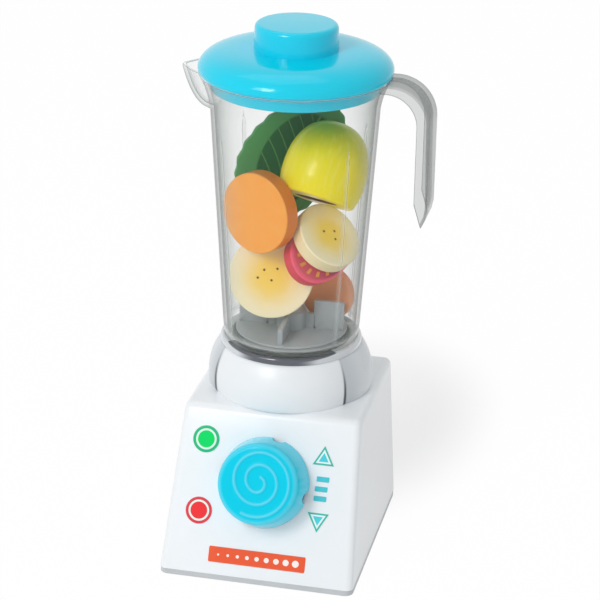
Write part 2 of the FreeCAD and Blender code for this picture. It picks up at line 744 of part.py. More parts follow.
# ------------------------------------------------------------------ collar and seat
def collar_radius(share):
    """Outer radius of the collar at a share of its height: upright at the foot, then in."""
    drop = COLLAR_FOOT_R - COLLAR_TOP_R
    return COLLAR_FOOT_R - drop * share ** COLLAR_CURVE + COLLAR_SWELL * math.sin(math.pi * share)


def collar_section(share):
    """Four bulged arcs that meet in creases; the creases fade out towards the top."""
    radius = collar_radius(share)
    crease = radius - CREASE_DEPTH * (1 - share) ** CREASE_FADE
    z = HOUSING_TOP + COLLAR_HEIGHT * share
    corners = [CREASE_ANGLE, 180 - CREASE_ANGLE, 180 + CREASE_ANGLE, 360 - CREASE_ANGLE]
    middles = [90, 180, 270, 360]
    edges = []
    for i in range(4):
        start = polar(crease, corners[i], z)
        end = polar(crease, corners[(i + 1) % 4], z)
        edges.append(arc(start, polar(radius, middles[i], z), end))
    return Part.Wire(edges)


def make_collar():
    """Moulded dome of four facets between the base and the jar, open inside."""
    outer = Part.makeLoft([collar_section(share) for share in COLLAR_SHARES], True, False)
    depth = COLLAR_WALL + CREASE_DEPTH
    inner_profile = [(0, HOUSING_TOP - OVERRUN), (collar_radius(0) - depth, HOUSING_TOP - OVERRUN)]
    for share in COLLAR_INNER_SHARES:
        inner_profile.append((collar_radius(share) - depth, HOUSING_TOP + COLLAR_HEIGHT * share))
    flange_low = COLLAR_TOP - FLANGE_T
    inner_profile.append((collar_radius(FLANGE_ROOT_SHARE) - depth, flange_low))
    inner_profile.append((FLANGE_BORE_R, flange_low))
    inner_profile.append((FLANGE_BORE_R, COLLAR_TOP + OVERRUN))
    inner_profile.append((0, COLLAR_TOP + OVERRUN))
    return outer.cut(turned(inner_profile))


def make_seat_ring():
    """Dark ring on the collar that the jar rests on."""
    inner = FLANGE_BORE_R - SEAT_LAP
    outer = inner + SEAT_WIDTH
    bevel = SEAT_HEIGHT / 4
    return turned([(inner, COLLAR_TOP), (outer, COLLAR_TOP), (outer, SEAT_TOP - bevel),
                   (outer - bevel, SEAT_TOP), (inner, SEAT_TOP)])


# ------------------------------------------------------------------ jar
def jar_radius(z):
    """Outer radius of the straight jar wall at a height."""
    share = (z - JAR_BOTTOM) / JAR_SHOULDER_H
    return JAR_FOOT_R + (JAR_SHOULDER_R - JAR_FOOT_R) * share


def flare_edges(inset):
    """Edges of the wall from the shoulder to the rim, moved in by inset."""
    shoulder_z = JAR_BOTTOM + JAR_SHOULDER_H
    mid_z = JAR_RIM_Z - (JAR_RIM_Z - shoulder_z) * FLARE_MID_DROP
    mid_r = JAR_SHOULDER_R + (JAR_RIM_R - JAR_SHOULDER_R) * FLARE_MID_SPREAD
    start = Vector(JAR_SHOULDER_R - inset, 0, shoulder_z)
    return arc(start, Vector(mid_r - inset, 0, mid_z), Vector(JAR_RIM_R - inset, 0, JAR_RIM_Z))


def jar_envelope():
    """Solid inside the jar's outer surface, from its bottom to its rim."""
    shoulder = Vector(JAR_SHOULDER_R, 0, JAR_BOTTOM + JAR_SHOULDER_H)
    edges = [
        line(Vector(0, 0, JAR_BOTTOM), Vector(JAR_FOOT_R, 0, JAR_BOTTOM)),
        line(Vector(JAR_FOOT_R, 0, JAR_BOTTOM), shoulder),
        flare_edges(0),
        line(Vector(JAR_RIM_R, 0, JAR_RIM_Z), Vector(0, 0, JAR_RIM_Z)),
        line(Vector(0, 0, JAR_RIM_Z), Vector(0, 0, JAR_BOTTOM)),
    ]
    return turned_edges(edges)


def jar_hollow(extra=0.0):
    """Solid that fills the inside of the jar, grown outwards by extra."""
    inset = JAR_WALL - extra
    shoulder = Vector(JAR_SHOULDER_R - inset, 0, JAR_BOTTOM + JAR_SHOULDER_H)
    top = JAR_RIM_Z + OVERRUN
    edges = [
        line(Vector(0, 0, FLOOR_TOP), Vector(jar_radius(FLOOR_TOP) - inset, 0, FLOOR_TOP)),
        line(Vector(jar_radius(FLOOR_TOP) - inset, 0, FLOOR_TOP), shoulder),
        flare_edges(inset),
        line(Vector(JAR_RIM_R - inset, 0, JAR_RIM_Z), Vector(JAR_RIM_R - inset, 0, top)),
        line(Vector(JAR_RIM_R - inset, 0, top), Vector(0, 0, top)),
        line(Vector(0, 0, top), Vector(0, 0, FLOOR_TOP)),
    ]
    return turned_edges(edges)


def spout_section(share, inset):
    """Upright section of the spout: a flat top over half an ellipse, at a share of its reach."""
    root = jar_radius(JAR_BOTTOM + JAR_SHOULDER_H) - 2 * JAR_WALL
    x = root + (SPOUT_REACH - inset - root) * share
    half = (SPOUT_HALF_WIDTH - inset) * (1 - share ** SPOUT_NARROWING) + SPOUT_TIP_HALF_WIDTH * share
    depth = (SPOUT_ROOT_DEPTH - inset) * (1 - share ** SPOUT_RISING) + SPOUT_TIP_DEPTH * share
    top = JAR_RIM_Z + (OVERRUN if inset else 0)
    points = []
    for i in range(13):
        angle = math.pi * i / 12
        points.append(Vector(-x, half * math.cos(angle), JAR_RIM_Z - depth * math.sin(angle)))
    curve = Part.BSplineCurve()
    curve.interpolate(points)
    ends = [Vector(-x, -half, top), Vector(-x, half, top)]
    edges = [curve.toShape()]
    if inset:
        edges.append(line(points[-1], ends[0]))
        edges.append(line(ends[0], ends[1]))
        edges.append(line(ends[1], points[0]))
    else:
        edges.append(line(points[-1], points[0]))
    return Part.Wire(edges)


def spout_solid(inset):
    """Beak of the spout, full for an inset of nought and its channel for one wall."""
    return Part.makeLoft([spout_section(i / 4, inset) for i in range(5)], True, False)


def rib_spear():
    """Pointed upright rib against the jar wall, on the +X side."""
    low = FLOOR_TOP
    top = JAR_BOTTOM + RIB_TOP
    half = RIB_WIDTH / 2
    spear = polygon_face([Vector(0, -half, low), Vector(0, half, low), Vector(0, half, top - RIB_POINT),
                          Vector(0, 0, top), Vector(0, -half, top - RIB_POINT)])
    bar = spear.extrude(Vector(JAR_RIM_R, 0, 0))
    shell = jar_hollow(FIT).cut(jar_hollow(-RIB_PROUD))
    return bar.common(shell)


def make_jar():
    """Clear jar: tapered wall, flared rim, pouring spout and inner ribs."""
    body = jar_envelope().fuse([spout_solid(0)])
    body = body.cut(jar_hollow()).cut(spout_solid(JAR_WALL))
    spear = rib_spear()
    pieces = [body]
    for angle in (CREASE_ANGLE, 180 - CREASE_ANGLE, 180 + CREASE_ANGLE, 360 - CREASE_ANGLE):
        rib = spear.copy()
        rib.rotate(Vector(0, 0, 0), Vector(0, 0, 1), angle)
        pieces.append(rib)
    return pieces[0].fuse(pieces[1:]).cut(floor_slice())


def floor_slice():
    """Lowest slice of the jar, which its floor takes up."""
    return rod(2 * JAR_FOOT_R, JAR_BOTTOM - OVERRUN, FLOOR_TOP)


def make_jar_floor():
    """Clear floor of the jar, bored for the rotor's bush."""
    bore = rod(rotor_bush_r() + FIT, JAR_BOTTOM - OVERRUN, FLOOR_TOP + OVERRUN)
    return jar_envelope().common(floor_slice()).cut(bore)


def make_jar_skirt():
    """Ring under the jar's floor that drops into the collar."""
    return ring(SKIRT_R - JAR_WALL, SKIRT_R, JAR_BOTTOM - SKIRT_DEPTH, JAR_BOTTOM)


def make_jar_boss():
    """Boss under the jar's floor that holds the rotor's bush."""
    return ring(rotor_bush_r() + FIT, JAR_BOSS_R, JAR_BOTTOM - JAR_BOSS_DEPTH, JAR_BOTTOM)


def make_jar_handle():
    """Open channel strap that leaves the rim and hangs beside the jar, with a bevelled end."""
    outer_x = HANDLE_OUTER_X
    inner_x = HANDLE_OUTER_X - HANDLE_DEPTH
    top = JAR_RIM_Z
    bend = HANDLE_ARC_R
    root = JAR_RIM_R - 5 * JAR_WALL
    low = top - HANDLE_LENGTH

    def strap(inset, half):
        """Strap outline in the XZ plane, its outer side moved in, pulled to a half width.

        A strap that is moved in is a cutter, so it runs over the open inner side.
        """
        over = OVERRUN if inset else 0
        r_out = bend - inset
        centre = Vector(outer_x - bend, -half, top - bend)
        inner = inner_x - over
        r_in = min(bend - HANDLE_TOP_THICK + over, inner - root)
        diagonal = math.sqrt(0.5)
        centre_in = Vector(inner - r_in, -half, top - HANDLE_TOP_THICK - r_in - over)
        edges = [
            line(Vector(root, -half, top - inset), centre + Vector(0, 0, r_out)),
            arc(centre + Vector(0, 0, r_out), centre + Vector(r_out * diagonal, 0, r_out * diagonal),
                centre + Vector(r_out, 0, 0)),
            line(centre + Vector(r_out, 0, 0), Vector(outer_x - inset, -half, low)),
            line(Vector(outer_x - inset, -half, low), Vector(inner, -half, low + HANDLE_BEVEL)),
            line(Vector(inner, -half, low + HANDLE_BEVEL), centre_in + Vector(r_in, 0, 0)),
            arc(centre_in + Vector(r_in, 0, 0), centre_in + Vector(r_in * diagonal, 0, r_in * diagonal),
                centre_in + Vector(0, 0, r_in)),
            line(centre_in + Vector(0, 0, r_in), Vector(root, -half, centre_in.z + r_in)),
            line(Vector(root, -half, centre_in.z + r_in), Vector(root, -half, top - inset)),
        ]
        return Part.Face(Part.Wire(edges)).extrude(Vector(0, 2 * half, 0))

    half = HANDLE_WIDTH / 2
    handle = strap(0, half).cut(strap(HANDLE_WALL, half - HANDLE_WALL))
    return handle.cut(jar_envelope())


# ------------------------------------------------------------------ rotor
def rotor_bush_r():
    """Outer radius of the rotor's bush in the jar floor."""
    return ROTOR_STEM_R + RUN + ROTOR_BUSH_WALL


def stem_low():
    """Bottom of the rotor's stem, down over the coupler."""
    return coupler_low() + COUPLER_HEIGHT - SOCKET_GRIP


def bush_low():
    """Bottom of the rotor bush's flange."""
    return JAR_BOTTOM - JAR_BOSS_DEPTH - BUSH_FLANGE_T


def make_rotor_bush():
    """Bush in the jar floor, flanged underneath."""
    bore = ROTOR_STEM_R + RUN
    sleeve = ring(bore, rotor_bush_r(), JAR_BOTTOM - JAR_BOSS_DEPTH, FLOOR_TOP)
    flange = ring(bore, JAR_BOSS_R - REST, bush_low(), JAR_BOTTOM - JAR_BOSS_DEPTH)
    return fused([sleeve, flange])


def fin(inner_r, outer_r, inner_height, outer_height):
    """Upright fin along +X on the rotor's disc."""
    half = FIN_THICK / 2
    low = DISC_TOP - ROTOR_DISC_T / 2
    outline = [(inner_r, low), (outer_r, low), (outer_r, DISC_TOP + outer_height),
               (inner_r, DISC_TOP + inner_height)]
    side = polygon_face([Vector(x, -half, z) for x, z in outline])
    return side.extrude(Vector(0, FIN_THICK, 0))


def make_rotor():
    """Grey disc with two tall and two low fins, a domed hub and a stem with the drive socket."""
    low = FLOOR_TOP + REST
    disc = rod(ROTOR_DISC_R, low, DISC_TOP)
    hub = rod(ROTOR_HUB_R, low, DISC_TOP + LOW_FIN_INNER_HEIGHT)
    hub = hub.makeFillet(ROTOR_HUB_R / 3, top_edges(hub, DISC_TOP + LOW_FIN_INNER_HEIGHT))
    stem = rod(ROTOR_STEM_R, stem_low(), DISC_TOP)
    fins = []
    for angle in (0, 180):
        tall = fin(TALL_FIN_INNER_R, TALL_FIN_R, TALL_FIN_HEIGHT, TALL_FIN_HEIGHT)
        tie = fin(ROTOR_HUB_R / 2, TALL_FIN_INNER_R + FIN_THICK, LOW_FIN_HEIGHT, LOW_FIN_HEIGHT)
        for piece in (tall, tie):
            piece.rotate(Vector(0, 0, 0), Vector(0, 0, 1), angle)
            fins.append(piece)
    for angle in (90, 270):
        low_fin = fin(ROTOR_HUB_R / 2, LOW_FIN_R, LOW_FIN_INNER_HEIGHT, LOW_FIN_HEIGHT)
        low_fin.rotate(Vector(0, 0, 0), Vector(0, 0, 1), angle)
        fins.append(low_fin)
    rotor = fused([disc, hub, stem] + fins)
    socket = hexagon(COUPLER_FLATS + 2 * SLIP, stem_low() - OVERRUN, stem_low() + SOCKET_GRIP + SLIP)
    groove_top = bush_low() - END_FLOAT
    return rotor.cut(socket).cut(clip_groove(ROTOR_STEM_R, groove_top))


def make_rotor_clip():
    """Retaining ring round the rotor's stem, under the jar."""
    return open_clip(ROTOR_STEM_R, ROTOR_STEM_R + CLIP_LAP, bush_low() - END_FLOAT)


# ------------------------------------------------------------------ lid
def dome_height(radius, shrink=0.0):
    """Height of the lid's dome over its edge: a blunt superellipse."""
    share = min(1.0, radius / (LID_R - shrink))
    return (LID_RISE - shrink) * (1 - share ** LID_CURVE) ** (1 / LID_BLEND)


def dome_curve(first, last, shrink, base):
    """Smooth curve of the dome between two radii."""
    points = []
    for i in range(11):
        share = i / 10
        radius = last + (first - last) * (1 - share) ** 2
        points.append(Vector(radius, 0, base + dome_height(radius, shrink)))
    curve = Part.BSplineCurve()
    curve.interpolate(points)
    return curve.toShape()


def cap_hole_r():
    """Radius of the hole in the lid that takes the cap's plug."""
    return CAP_R - LID_WALL


def plug_side():
    """Outer points of the lid's plug, foot first, a gap inside the flare and the wall under it.

    The flare is hollow, so the plug falls back PLUG_STEEPNESS times as fast as a straight cone.
    """
    drop = JAR_RIM_R - JAR_SHOULDER_R
    bend = (JAR_HEIGHT - JAR_SHOULDER_H) / PLUG_STEEPNESS
    gap = JAR_WALL + PLUG_GAP
    low = LID_SEAT - PLUG_DEPTH
    side = [(JAR_RIM_R - gap - PLUG_DRAFT / 2, LID_SEAT)]
    if PLUG_DEPTH > bend:
        side.insert(0, (JAR_SHOULDER_R - gap, LID_SEAT - bend))
        side.insert(0, (jar_radius(low) - gap, low))
    else:
        side.insert(0, (JAR_RIM_R - drop * PLUG_DEPTH / bend - gap, low))
    return side


def make_lid():
    """Domed shell with a rounded edge, a plug that fits the jar and a hole for the cap."""
    hole = cap_hole_r()
    inner_r = LID_R - LID_WALL
    outer_curve = dome_curve(hole, LID_R, 0, LID_EDGE_Z)
    inner_curve = dome_curve(hole, inner_r, LID_WALL, LID_EDGE_Z)
    hole_top = Vector(hole, 0, LID_EDGE_Z + dome_height(hole))
    hole_low = Vector(hole, 0, LID_EDGE_Z + dome_height(hole, LID_WALL))
    turn = LID_SKIRT / 2
    edges = [
        outer_curve,
        line(hole_top, hole_low),
        inner_curve,
        line(Vector(inner_r, 0, LID_EDGE_Z), Vector(inner_r, 0, LID_SEAT)),
        line(Vector(inner_r, 0, LID_SEAT), Vector(LID_R - turn, 0, LID_SEAT)),
        arc(Vector(LID_R - turn, 0, LID_SEAT), Vector(LID_R - turn / 4, 0, LID_SEAT + turn),
            Vector(LID_R, 0, LID_EDGE_Z)),
    ]
    shell = turned_edges(edges)
    side = plug_side()
    bore = side[0][0] - LID_WALL
    plug = turned([(bore, side[0][1])] + side + [
        (inner_r + FIT, LID_SEAT), (inner_r + FIT, LID_EDGE_Z), (bore, LID_EDGE_Z),
    ])
    return shell.fuse([plug])


def make_lid_cap():
    """Short round cap pressed into the lid, hollow underneath."""
    seat = LID_EDGE_Z + dome_height(CAP_R)
    top = seat + CAP_HEIGHT
    mid = CAP_EDGE_R * (1 - math.sqrt(0.5))
    hole = cap_hole_r() - FIT
    plug_low = seat - CAP_PLUG_DEPTH
    bore = hole - CAP_PLUG_WALL
    rim = top - CAP_EDGE_R
    edges = [
        line(Vector(CAP_R, 0, seat), Vector(CAP_TOP_R, 0, rim)),
        arc(Vector(CAP_TOP_R, 0, rim), Vector(CAP_TOP_R - mid, 0, top - mid),
            Vector(CAP_TOP_R - CAP_EDGE_R, 0, top)),
        line(Vector(CAP_TOP_R - CAP_EDGE_R, 0, top), Vector(0, 0, top)),
        line(Vector(0, 0, top), Vector(0, 0, top - CAP_WALL)),
        line(Vector(0, 0, top - CAP_WALL), Vector(bore, 0, top - CAP_WALL)),
        line(Vector(bore, 0, top - CAP_WALL), Vector(bore, 0, plug_low)),
        line(Vector(bore, 0, plug_low), Vector(hole, 0, plug_low)),
        line(Vector(hole, 0, plug_low), Vector(hole, 0, seat)),
        line(Vector(hole, 0, seat), Vector(CAP_R, 0, seat)),
    ]
    cap = turned_edges(edges)
    dome = turned_edges([
        dome_curve(0, LID_R, 0, LID_EDGE_Z),
        line(Vector(LID_R, 0, LID_EDGE_Z), Vector(0, 0, LID_EDGE_Z)),
        line(Vector(0, 0, LID_EDGE_Z), Vector(0, 0, LID_EDGE_Z + dome_height(0))),
    ])
    wall_zone = ring(hole, CAP_R + OVERRUN, LID_SEAT, top)
    return cap.cut(dome.common(wall_zone))


# ------------------------------------------------------------------ stickers
def disc_sticker(x, rise):
    """Round sticker on the front face."""
    return placed(rod(DOT_R, 0, STICKER_T), face_place(x, rise))


def arrow_sticker(x, rise, upward):
    """Triangular sticker with small round corners."""
    tip = ARROW_HEIGHT / 2 * (1 if upward else -1)
    points = [Vector(-ARROW_SIDE / 2, -tip, 0), Vector(ARROW_SIDE / 2, -tip, 0), Vector(0, tip, 0)]
    sticker = polygon_face(points).extrude(Vector(0, 0, STICKER_T))
    corners = [e for e in sticker.Edges if abs(e.Vertexes[0].Z - e.Vertexes[1].Z) > STICKER_T / 2]
    sticker = sticker.makeFillet(STICKER_T * 2, corners)
    return placed(sticker, face_place(x, rise))


def rounded_tile(width, height):
    """Thin rectangle with round corners, centred on its own origin."""
    tile = Part.makeBox(width, height, STICKER_T, Vector(-width / 2, -height / 2, 0))
    corners = [e for e in tile.Edges if abs(e.Vertexes[0].Z - e.Vertexes[1].Z) > STICKER_T / 2]
    return tile.makeFillet(min(width, height) / 6, corners)


def bar_sticker():
    """Three short bars, one above the other."""
    bars = []
    for x, rise in zip(BAR_CENTRES_X, BAR_RISES):
        bars.append(placed(rounded_tile(*BAR_SIZE), face_place(x, rise)))
    return Part.makeCompound(bars)


# ------------------------------------------------------------------ wooden play food
def food_place(at, turns, spin=0.0):
    """Placement of a slice: local Z is its face normal, turned from -Y towards +X and up."""
    centre = Vector(at[0], at[1], FLOOR_TOP + at[2])
    turn = math.radians(turns[0])
    rise = math.radians(turns[1])
    normal = Vector(math.sin(turn) * math.cos(rise), -math.cos(turn) * math.cos(rise), math.sin(rise))
    right = Vector(math.cos(turn), math.sin(turn), 0)
    up = normal.cross(right)
    tilt = Placement(centre, Rotation(right, up, normal, "ZXY"))
    return tilt.multiply(Placement(Vector(0, 0, 0), Rotation(Vector(0, 0, 1), spin)))


def round_slice(radius, thick):
    """Round slice with eased edges, its face at height nought and its body below."""
    return turned([(0, -thick), (radius - FOOD_EDGE, -thick), (radius, FOOD_EDGE - thick),
                   (radius, -FOOD_EDGE), (radius - FOOD_EDGE, 0), (0, 0)])


def make_orange_slice():
    """Orange round slice that leans on the front left of the jar."""
    return placed(round_slice(ORANGE_R, ORANGE_T), food_place(ORANGE_AT, ORANGE_TURN))


def make_banana_slice():
    """Large pale slice low in the jar, over the front fin."""
    return placed(round_slice(BANANA_R, BANANA_T), food_place(BANANA_AT, BANANA_TURN))


def make_banana_slice_small():
    """Second pale slice, higher on the right, that leans back on the strawberry."""
    slab = round_slice(SMALL_BANANA_R, SMALL_BANANA_T)
    return placed(slab, food_place(SMALL_BANANA_AT, SMALL_BANANA_TURN))


def make_peach_slice():
    """Terracotta slice that stands on the rotor's disc behind the right fin."""
    return placed(round_slice(PEACH_R, PEACH_T), food_place(PEACH_AT, PEACH_TURN))


def make_strawberry_slice():
    """Pointed berry slice on its side, its tip to the right."""
    half = STRAWBERRY_LENGTH / 2
    wide = STRAWBERRY_WIDTH / 2
    points = []
    for i in range(16):
        angle = 2 * math.pi * i / 16
        along = half * math.cos(angle)
        narrowing = 1 - STRAWBERRY_TAPER * math.cos(angle)
        points.append(Vector(along, wide * math.sin(angle) * narrowing, 0))
    curve = Part.BSplineCurve()
    curve.interpolate(points, PeriodicFlag=True)
    slab = Part.Face(Part.Wire(curve.toShape())).extrude(Vector(0, 0, -STRAWBERRY_T))
    return placed(slab, food_place(STRAWBERRY_AT, STRAWBERRY_TURN, STRAWBERRY_SPIN))


def make_pear_half():
    """Blunt half fruit, its cut face down to the front with a shallow oval pocket."""
    belly = [Vector(PEAR_R, 0, 0)]
    for i in range(1, 4):
        swell = math.sin(math.pi / 2 * i / 3)
        belly.append(Vector(PEAR_R + (PEAR_BELLY_R - PEAR_R) * swell, 0, -PEAR_BELLY * i / 3))
    crown = PEAR_HEIGHT - PEAR_BELLY
    for i in range(1, 7):
        angle = math.pi / 2 * i / 6
        radius = PEAR_BELLY_R * math.cos(angle) ** PEAR_BLUNT
        belly.append(Vector(radius, 0, -PEAR_BELLY - crown * math.sin(angle) ** PEAR_BLUNT))
    curve = Part.BSplineCurve()
    curve.interpolate(belly)
    edges = [curve.toShape(), line(belly[-1], Vector(0, 0, 0)), line(Vector(0, 0, 0), belly[0])]
    half = turned_edges(edges)
    length, width, depth = PEAR_POCKET
    ellipse = Part.Ellipse(Vector(0, 0, 0), length, width)
    pocket = Part.Face(Part.Wire(ellipse.toShape())).extrude(Vector(0, 0, -depth))
    return placed(half.cut(pocket), food_place(PEAR_AT, PEAR_TURN))


def make_leaf():
    """Flat leaf with a toothed edge, upright at the back of the jar."""
    width, height = LEAF_SIZE
    points = []
    for i in range(2 * LEAF_TEETH):
        angle = math.pi * i / LEAF_TEETH
        reach = LEAF_TOOTH if i % 2 else 0
        points.append(Vector((width - reach) * math.cos(angle), (height - reach) * math.sin(angle), 0))
    slab = polygon_face(points).extrude(Vector(0, 0, -LEAF_T))
    return placed(slab, food_place(LEAF_AT, LEAF_TURN, LEAF_SPIN))


# ------------------------------------------------------------------ all sub-parts
def build_all():
    """Every sub-part by node name."""
    return {
        "base_housing": make_base_housing(),
        "bottom_plate": make_bottom_plate(),
        "plate_screws": make_plate_screws(),
        "bearing_post": make_bearing_post(),
        "shaft_bush": make_shaft_bush(),
        "dial_bush": make_dial_bush(),
        "collar": make_collar(),
        "seat_ring": make_seat_ring(),
        "go_sticker": disc_sticker(DOT_X, GO_RISE),
        "stop_sticker": disc_sticker(DOT_X, STOP_RISE),
        "faster_sticker": arrow_sticker(ARROW_X, UP_ARROW_RISE, True),
        "slower_sticker": arrow_sticker(ARROW_X, DOWN_ARROW_RISE, False),
        "level_sticker": bar_sticker(),
        "front_label": placed(rounded_tile(*LABEL_SIZE), face_place(0, LABEL_RISE)),
        "dial_knob": make_dial_knob(),
        "dial_shaft": make_dial_shaft(),
        "dial_clip": make_dial_clip(),
        "bevel_gear": make_bevel_gear(),
        "gear_screw": make_gear_screw(),
        "drive_shaft": make_drive_shaft(),
        "drive_clip": make_drive_clip(),
        "bevel_pinion": make_bevel_pinion(),
        "drive_coupler": make_drive_coupler(),
        "jar": make_jar(),
        "jar_floor": make_jar_floor(),
        "jar_skirt": make_jar_skirt(),
        "jar_boss": make_jar_boss(),
        "jar_handle": make_jar_handle(),
        "rotor_bush": make_rotor_bush(),
        "rotor": make_rotor(),
        "rotor_clip": make_rotor_clip(),
        "orange_slice": make_orange_slice(),
        "banana_slice": make_banana_slice(),
        "banana_slice_small": make_banana_slice_small(),
        "strawberry_slice": make_strawberry_slice(),
        "peach_slice": make_peach_slice(),
        "pear_half": make_pear_half(),
        "leaf": make_leaf(),
        "lid": make_lid(),
        "lid_cap": make_lid_cap(),
    }


os.makedirs("parts", exist_ok=True)
for name, shape in build_all().items():
    shape.exportStep("parts/" + name + ".step")
    box = shape.BoundBox
    print(name, "solids", len(shape.Solids), "valid", shape.isValid(), "volume", round(shape.Volume, 1),
          "z", round(box.ZMin, 2), round(box.ZMax, 2))
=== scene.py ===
"""Toy blender for a play kitchen: its visible surfaces, finishes, floor, lamps and camera."""
import json
import logging
import math
from dataclasses import dataclass, field
from enum import Enum
from functools import partialmethod
from typing import Any, Sequence

import bmesh
import bpy
import numpy as np
from mathutils import Matrix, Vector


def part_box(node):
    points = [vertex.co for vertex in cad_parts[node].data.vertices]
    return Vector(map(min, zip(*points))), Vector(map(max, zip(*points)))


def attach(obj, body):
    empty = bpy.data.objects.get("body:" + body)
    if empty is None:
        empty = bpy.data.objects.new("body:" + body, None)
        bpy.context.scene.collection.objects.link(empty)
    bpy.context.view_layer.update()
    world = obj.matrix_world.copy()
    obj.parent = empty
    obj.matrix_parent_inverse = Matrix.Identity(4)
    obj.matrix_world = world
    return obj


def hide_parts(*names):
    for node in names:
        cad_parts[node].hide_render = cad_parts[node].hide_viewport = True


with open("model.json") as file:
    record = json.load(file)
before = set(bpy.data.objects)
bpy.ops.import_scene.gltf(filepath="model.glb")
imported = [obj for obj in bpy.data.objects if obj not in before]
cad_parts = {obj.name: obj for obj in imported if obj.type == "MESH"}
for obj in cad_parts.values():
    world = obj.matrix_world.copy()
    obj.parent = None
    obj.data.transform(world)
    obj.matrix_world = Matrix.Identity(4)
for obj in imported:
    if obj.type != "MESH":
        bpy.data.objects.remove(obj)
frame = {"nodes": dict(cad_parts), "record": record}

LOG = logging.getLogger("toy_blender")
MM = 0.001
FULL_TURN = 2 * math.pi
QUARTER = math.pi / 2
TINY = 1e-9
Array = np.ndarray
Point = tuple[float, float, float]
Colour = tuple[float, float, float]


class Body(Enum):
    """Bodies of the frame that a piece can ride on."""

    BASE = "base"
    DIAL = "dial"
    JAR = "jar"
    ROTOR = "rotor"
    LID = "lid"


# ------------------------------------------------------------------ surfaces from arrays
def smooth_step(values: Array) -> Array:
    """Ease values from nought to one: 3t squared less 2t cubed, with t held between them."""
    held = np.clip(values, 0.0, 1.0)
    return held * held * (3 - 2 * held)


def wrapped(angle: Array, period: float = FULL_TURN) -> Array:
    """Angle less whole periods, so that it lies within half a period of nought."""
    return (angle + period / 2) % period - period / 2


def from_x_axis(angle: Array) -> Array:
    """Angle between a direction and the nearer end of the X axis, in radians."""
    folded = np.abs(wrapped(angle))
    return np.minimum(folded, math.pi - folded)


def compass(count: int) -> Array:
    """Directions at even steps round the turn, in radians."""
    return np.arange(count) * FULL_TURN / count


def finer_near(degrees: float, half: float, steps: int) -> Array:
    """Directions close to one angle from the X axis in each quarter of the turn.

    Args:
        degrees: The angle.
        half: How far they go to either side, in radians.
        steps: How many there are in each quarter.

    Returns:
        The directions, in radians.
    """
    a = math.radians(degrees)
    four = np.array([a, math.pi - a, math.pi + a, FULL_TURN - a])
    return (four[:, None] + np.linspace(-half, half, steps)).ravel()


def ring(radius: Array | float, angle: Array, z: Array | float) -> Array:
    """Points at a radius, a direction and a height: x = r cos a, y = r sin a."""
    return np.stack([radius * np.cos(angle), radius * np.sin(angle), z + 0 * angle], -1)


def stacked(rows: Sequence[tuple[Any, Any, Any]], angle: Array) -> tuple[Array, Array]:
    """Grid of points and the tint at each, from rows of (radius, height, tint)."""
    grid = np.stack([ring(radius, angle, z) for radius, z, _ in rows])
    return grid, np.stack([painted_shading + 0 * angle for _, _, painted_shading in rows])


def turned(profile: Array, columns: int = 144) -> Array:
    """Turn a closed (radius, height) outline about Z."""
    return ring(profile[:, :1], compass(columns), profile[:, 1:])


def eased(corners: Sequence[Sequence[float]], steps: int = 5) -> Array:
    """Round the corners of a closed outline.

    Each corner becomes a parabola between the points a cut length before and after it, and the
    cut is held to half of the shorter side.

    Args:
        corners: (across, along, cut) of each corner, in order round the outline.
        steps: Points for each corner.

    Returns:
        Outline points, shape (corners * steps, 2).
    """
    table = np.asarray(corners, float)
    points, cuts = table[:, :2], table[:, 2:]
    before, after = (np.roll(points, shift, axis=0) - points for shift in (1, -1))
    near, far = (np.linalg.norm(side, axis=1, keepdims=True) for side in (before, after))
    cut = np.minimum(cuts, 0.5 * np.minimum(near, far))
    start = (points + before / near * cut)[:, None]
    end = (points + after / far * cut)[:, None]
    t = np.linspace(0, 1, steps)[None, :, None]
    curve = (1 - t) ** 2 * start + 2 * t * (1 - t) * points[:, None] + t**2 * end
    return curve.reshape(-1, 2)


def inset(outline: Array, amount: float) -> Array:
    """Move a closed outline inwards: each point goes along the mean of its two side normals.

    Args:
        outline: Outline points, shape (columns, 2).
        amount: How far they move.

    Returns:
        The moved points.
    """
    x, y = outline.T
    area = np.sum(x * np.roll(y, -1) - y * np.roll(x, -1))
    normals = []
    for side in (outline - np.roll(outline, 1, axis=0), np.roll(outline, -1, axis=0) - outline):
        length = np.maximum(np.linalg.norm(side, axis=1, keepdims=True), TINY)
        normals.append(np.stack([-side[:, 1], side[:, 0]], -1) / length)
    return outline + (normals[0] + normals[1]) / 2 * amount * math.copysign(1.0, area)


def plate(outline: Array, low: float, high: float, ease: float = 0.3, rings: int = 6) -> Array:
    """Flat plate with eased edges.

    Rows of the grid are the outline at rising levels, drawn in by ease * (1 - cos b) where the
    edge turns through b, and then shrunk to the middle on both faces.

    Args:
        outline: Closed outline, shape (columns, 2).
        low: Height of the lower face.
        high: Height of the upper face.
        ease: Radius of the edges.
        rings: Rows between each edge and the middle of its face.

    Returns:
        Grid of points, shape (rows, columns, 3).
    """
    middle, inner = outline.mean(axis=0), inset(outline, ease)
    turn = np.linspace(0, QUARTER, 4)
    rows = [(middle + (inner - middle) * share, low) for share in np.linspace(0, 1, rings, endpoint=False)]
    for level, rise, bends in ((low, ease, turn[::-1]), (high, -ease, turn)):
        for bend in bends:
            rows.append((inset(outline, ease * (1 - math.cos(bend))), level + rise * (1 - math.sin(bend))))
    rows += [(middle + (inner - middle) * share, high) for share in np.linspace(1, 0, rings + 1)[1:]]
    return np.stack([np.column_stack([points, np.full(len(points), z)]) for points, z in rows])


def rounded_rectangle(width: float, height: float, radius: float, steps: int = 8) -> Array:
    """Outline of a rectangle with round corners, centred on the origin."""
    x, y = width / 2, height / 2
    return eased([(-x, -y, radius), (x, -y, radius), (x, y, radius), (-x, y, radius)], steps)


